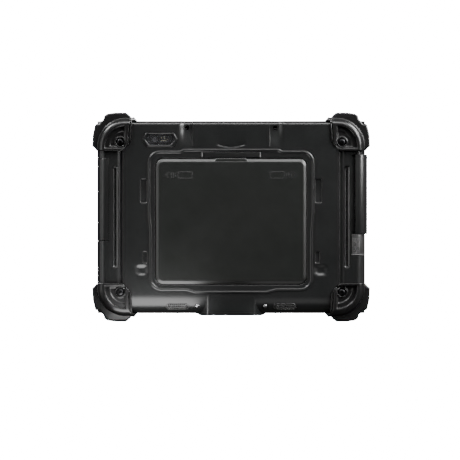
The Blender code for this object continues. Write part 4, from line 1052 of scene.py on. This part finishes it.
def speaker_grilles():
    pitch = 2.0 * MM
    for side, side_name in SIDES:
        outline = rectangle(-11.3 * MM, 11.3 * MM, -3.4 * MM, 3.4 * MM, 3.3 * MM)
        name = side_name + "_speaker_grille"
        grille = cushion(name + "_look", outline, -0.1 * MM, 1.6 * MM, 0.25 * MM, 0.1 * MM)
        rims = [circle((column - 4) * pitch + side * 0.9 * MM, (row - 1) * pitch, 0.55 * MM, 12)
                for row in range(3) for column in range(9)]
        holes = [pocket("hole", rim, -0.1 * MM, 3.0 * MM, 0.4 * MM, 0.05 * MM) for rim in rims]
        cut(grille, joined("holes", holes), plate("chevron", chevron(side), -MM, 3.0 * MM))
        on_edge(grille, side * SPEAKER_X, SPEAKER_Z)
        # The grille is the shell's plastic; its lighter grey is a painted highlight standing for the glints
        # on the rims of its holes.
        finish_piece(grille, "grille_plastic", "tablet", f"{side_name}_speaker_grille", slot="shell_plastic")


def strap_anchors():
    for side, side_name in SIDES:
        low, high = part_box(f"{side_name}_strap_anchor")
        rim, bore = (circle(side * STRAP_X, STRAP_Z, radius) for radius in (2.1 * MM, 1.25 * MM))
        ring = cushion(f"{side_name}_strap_anchor_look", rim, low.y, high.y, 0.3 * MM, 0.1 * MM)
        cut(ring, pocket("bore", bore, low.y, high.y + MM, 0.3 * MM, 0.05 * MM))
        finish_piece(ring, "screw_steel", "tablet", f"{side_name}_strap_anchor")


# The front ---------------------------------------------------------------------------------------------
def seal_ring(clearance):
    """The loop of the perimeter seal, with clearance, as a cutter."""
    low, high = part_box("perimeter_seal")
    outer = face_of(low, high)
    ring = plate("seal_groove", grown(outer, clearance), low.y - clearance, high.y + clearance)
    inner = grown(outer, -1.4 * MM - clearance)
    return cut(ring, plate("seal_core", inner, low.y - BEYOND, high.y + BEYOND))


def front_bezel():
    low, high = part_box("front_bezel")
    body = cushion("front_bezel_look", face_of(low, high, 5.0 * MM), low.y, high.y, 0.2 * MM, 4.0 * MM)
    hollow_half_width = 121.2 * MM
    view_half_width, view_half_height = 106.5 * MM, 80.2 * MM
    glass = face_of(*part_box("touch_glass"), 3.3 * MM, margin=GAP)
    cut(body, box("bezel_hollow", (-hollow_half_width, hollow_half_width), (0.0, 11.4 * MM),
                  (15.5 * MM, HEIGHT - 15.5 * MM)),
        pocket("glass_pocket", glass, high.y, 12.6 * MM, 0.6 * MM, 0.1 * MM),
        box("view_hole", (-view_half_width, view_half_width), (5.0 * MM, FRONT + BEYOND),
            (MID_Z - view_half_height, MID_Z + view_half_height)))
    for name in KEYS:
        hole = face_of(*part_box(name), 2.3 * MM, margin=GAP)
        cut(body, pocket(name + "_hole", hole, high.y, 5.0 * MM, 0.5 * MM, 0.1 * MM))
    for side in (-1, 1):
        for level in (-1, 1):
            cut(body, bumper_seat(side, level))
    cut(body, seal_ring(GAP))
    finish_piece(body, "bezel_plastic", "tablet", "front_bezel")


def key_mark(name, x, z, top):
    """A shallow engraved sign: a ring, a square, a dot, a plus or a minus."""
    foot, half, thick = top - 0.35 * MM, 1.7 * MM, 0.4 * MM
    if name == "power_button":
        ring = plate("mark", circle(x, z, half), foot, top + MM)
        return cut(ring, plate("mark_core", circle(x, z, half - 2 * thick), foot - MM, top + 2 * MM))
    if name == "home_button":
        square = box("mark", (x - half, x + half), (foot, top + MM), (z - half, z + half))
        inner = half - 2 * thick
        return cut(square, box("mark_core", (x - inner, x + inner), (foot - MM, top + 2 * MM),
                               (z - inner, z + inner)))
    if name == "function_button":
        return plate("mark", circle(x, z, 2 * thick), foot, top + MM)
    bar = box("mark", (x - half, x + half), (foot, top + MM), (z - thick, z + thick))
    if name == "volume_up_button":
        unite(bar, box("mark_upright", (x - thick, x + thick), (foot, top + MM), (z - half, z + half)))
    return bar


def front_keys():
    for name, body in KEYS.items():
        low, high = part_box(name)
        crown = high.y - FRONT + 2.0 * MM
        outline = face_of(low, high, 2.0 * MM)
        key = cushion(name + "_look", outline, high.y - crown, high.y, 0.2 * MM, 0.6 * MM)
        stem_half = 1.6 * MM
        x, z = (low.x + high.x) / 2, (low.z + high.z) / 2
        unite(key, box("stem", (x - stem_half, x + stem_half), (low.y, high.y - MM),
                       (z - stem_half, z + stem_half)))
        cut(key, key_mark(name, x, z, high.y))
        finish_piece(key, "bezel_plastic", body, name)


def screen():
    """The glass, and the black border that is printed behind its edge."""
    low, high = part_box("touch_glass")
    outline = face_of(low, high, 3.0 * MM)
    pane = cushion("touch_glass_look", outline, low.y, high.y, 0.1 * MM, 0.4 * MM)
    finish_piece(pane, "dark_glass", "tablet", "touch_glass")
    border = plate("screen_border", grown(outline, -0.6 * MM), low.y - 0.25 * MM, low.y - 0.1 * MM)
    view_half_width, view_half_height = 104.5 * MM, 78.4 * MM
    cut(border, box("active_area", (-view_half_width, view_half_width), (0.0, FRONT),
                    (MID_Z - view_half_height, MID_Z + view_half_height)))
    finish_piece(border, "insulator_plastic", "tablet")


# Pieces that keep their CAD shape ----------------------------------------------------------------------
def dress_cad_nodes():
    """Give every CAD node that is still shown its procedural finish."""
    slots = {m["slot"] for m in frame["record"]["materials"]}
    for node in frame["nodes"].values():
        for place in node.material_slots:
            name = place.material.name.split(".")[0]
            if name in slots and name in LOOKS:
                place.link = "OBJECT"
                place.material = LOOKS[name]


# Stage -------------------------------------------------------------------------------------------------
def stage():
    """A white floor under a wide white dome, so that every camera round the tablet is inside it."""
    paper = surface("studio_paper", (0.90, 0.90, 0.90), (0.92, 0.92, 0.92), (0.7, 0.8), (200.0, 0.02))
    shader = paper.node_tree.nodes["Principled BSDF"]
    shader.inputs["Emission Color"].default_value = (1.0, 1.0, 1.0, 1.0)
    shader.inputs["Emission Strength"].default_value = 22.0
    radius, steps = 5.0, 24
    roof = [(radius * math.sin(math.pi / 2 * k / steps), radius * math.cos(math.pi / 2 * k / steps))
            for k in range(steps + 1)]
    dome = turned("studio_dome", roof + [(0.0, -0.05)], 48)
    dome.visible_shadow = False
    edge = radius - 0.1
    floor = turned("studio_floor", [(0.0, 0.0), (edge, 0.0), (edge, -0.02), (0.0, -0.02)], 48)
    for piece in (dome, floor):
        piece.data.materials.append(paper)
        piece.visible_glossy = False
        piece.visible_diffuse = False
        piece.visible_transmission = False


def lamp(name, place, target, size, power):
    light = bpy.data.lights.new(name, "AREA")
    light.shape = "RECTANGLE"
    light.size = size[0]
    light.size_y = size[1]
    light.energy = power
    made = bpy.data.objects.new(name, light)
    bpy.context.scene.collection.objects.link(made)
    made.location = place
    made.rotation_euler = (Vector(target) - Vector(place)).to_track_quat("-Z", "Y").to_euler()
    made.visible_camera = False


def sky():
    """White surroundings, brighter above and to the right, with dark walls square to the back and front."""
    world = bpy.data.worlds.new("studio")
    world.use_nodes = True
    nodes = world.node_tree.nodes
    links = world.node_tree.links
    place = nodes.new("ShaderNodeTexCoord")

    def towards(direction, start, end, low, high):
        dot = nodes.new("ShaderNodeVectorMath")
        dot.operation = "DOT_PRODUCT"
        dot.inputs[1].default_value = direction
        links.new(place.outputs["Generated"], dot.inputs[0])
        level = nodes.new("ShaderNodeMapRange")
        level.interpolation_type = "SMOOTHSTEP"
        for name, value in (("From Min", start), ("From Max", end), ("To Min", low), ("To Max", high)):
            level.inputs[name].default_value = value
        links.new(dot.outputs["Value"], level.inputs["Value"])
        return level.outputs["Result"]

    walls = nodes.new("ShaderNodeMath")
    walls.operation = "MULTIPLY"
    links.new(towards((0.0, -1.0, 0.0), 0.5, 0.92, 4.6, 0.25), walls.inputs[0])
    links.new(towards((0.0, 1.0, 0.0), 0.6, 0.95, 1.0, 0.06), walls.inputs[1])
    strength = nodes.new("ShaderNodeMath")
    strength.operation = "MULTIPLY"
    links.new(walls.outputs["Value"], strength.inputs[0])
    links.new(towards((0.45, 0.0, 0.9), -0.5, 0.9, 0.35, 1.1), strength.inputs[1])
    links.new(strength.outputs["Value"], nodes["Background"].inputs["Strength"])
    bpy.context.scene.world = world


def lights():
    middle = (0.0, 0.0, MID_Z)
    lamp("top_softbox", (0.0, -0.85, 1.05), middle, (1.1, 0.35), 14.0)
    lamp("right_softbox", (0.95, -0.85, 0.6), middle, (0.3, 0.5), 22.0)
    lamp("left_softbox", (-1.0, -0.9, 0.25), middle, (0.3, 0.8), 2.5)
    lamp("right_corner_softbox", (0.75, -0.35, 0.9), middle, (0.35, 0.35), 18.0)
    lamp("left_corner_softbox", (-0.75, -0.4, 0.95), middle, (0.3, 0.3), 14.0)
    lamp("front_softbox", (-0.5, 1.1, 1.1), middle, (1.2, 0.7), 60.0)
    lamp("left_floor_glow", (-0.078, -0.07, 0.003), (-0.078, -0.06, 0.3), (0.09, 0.09), 0.22)
    lamp("right_floor_glow", (0.06, -0.06, 0.003), (0.06, -0.055, 0.3), (0.08, 0.05), 0.01)
    lamp("left_strip", (-1.2, -0.35, 0.1), middle, (0.3, 0.8), 1.5)
    sky()


def camera_view():
    """Straight on at the back, far away, with the tablet a little left of and below the middle."""
    distance, sensor = 3.0, 36.0
    eye = bpy.data.cameras.new("photo_view")
    eye.sensor_width = sensor
    eye.lens = sensor * distance / VIEW_WIDTH
    eye.clip_end = 20.0
    made = bpy.data.objects.new("photo_view", eye)
    bpy.context.scene.collection.objects.link(made)
    made.location = (-1.15 * MM, BACK - distance, 91.9 * MM)
    made.rotation_euler = (math.pi / 2, 0.0, 0.0)
    bpy.context.scene.camera = made


rear_housing()
corner_bumpers()
bumper_screws()
dome_screws()
battery_pack()
arrow_marks()
battery_latch()
latch_spring()
port_doors()
camera()
speaker_grilles()
strap_anchors()
front_bezel()
front_keys()
screen()
dress_cad_nodes()
stage()
lights()
camera_view()
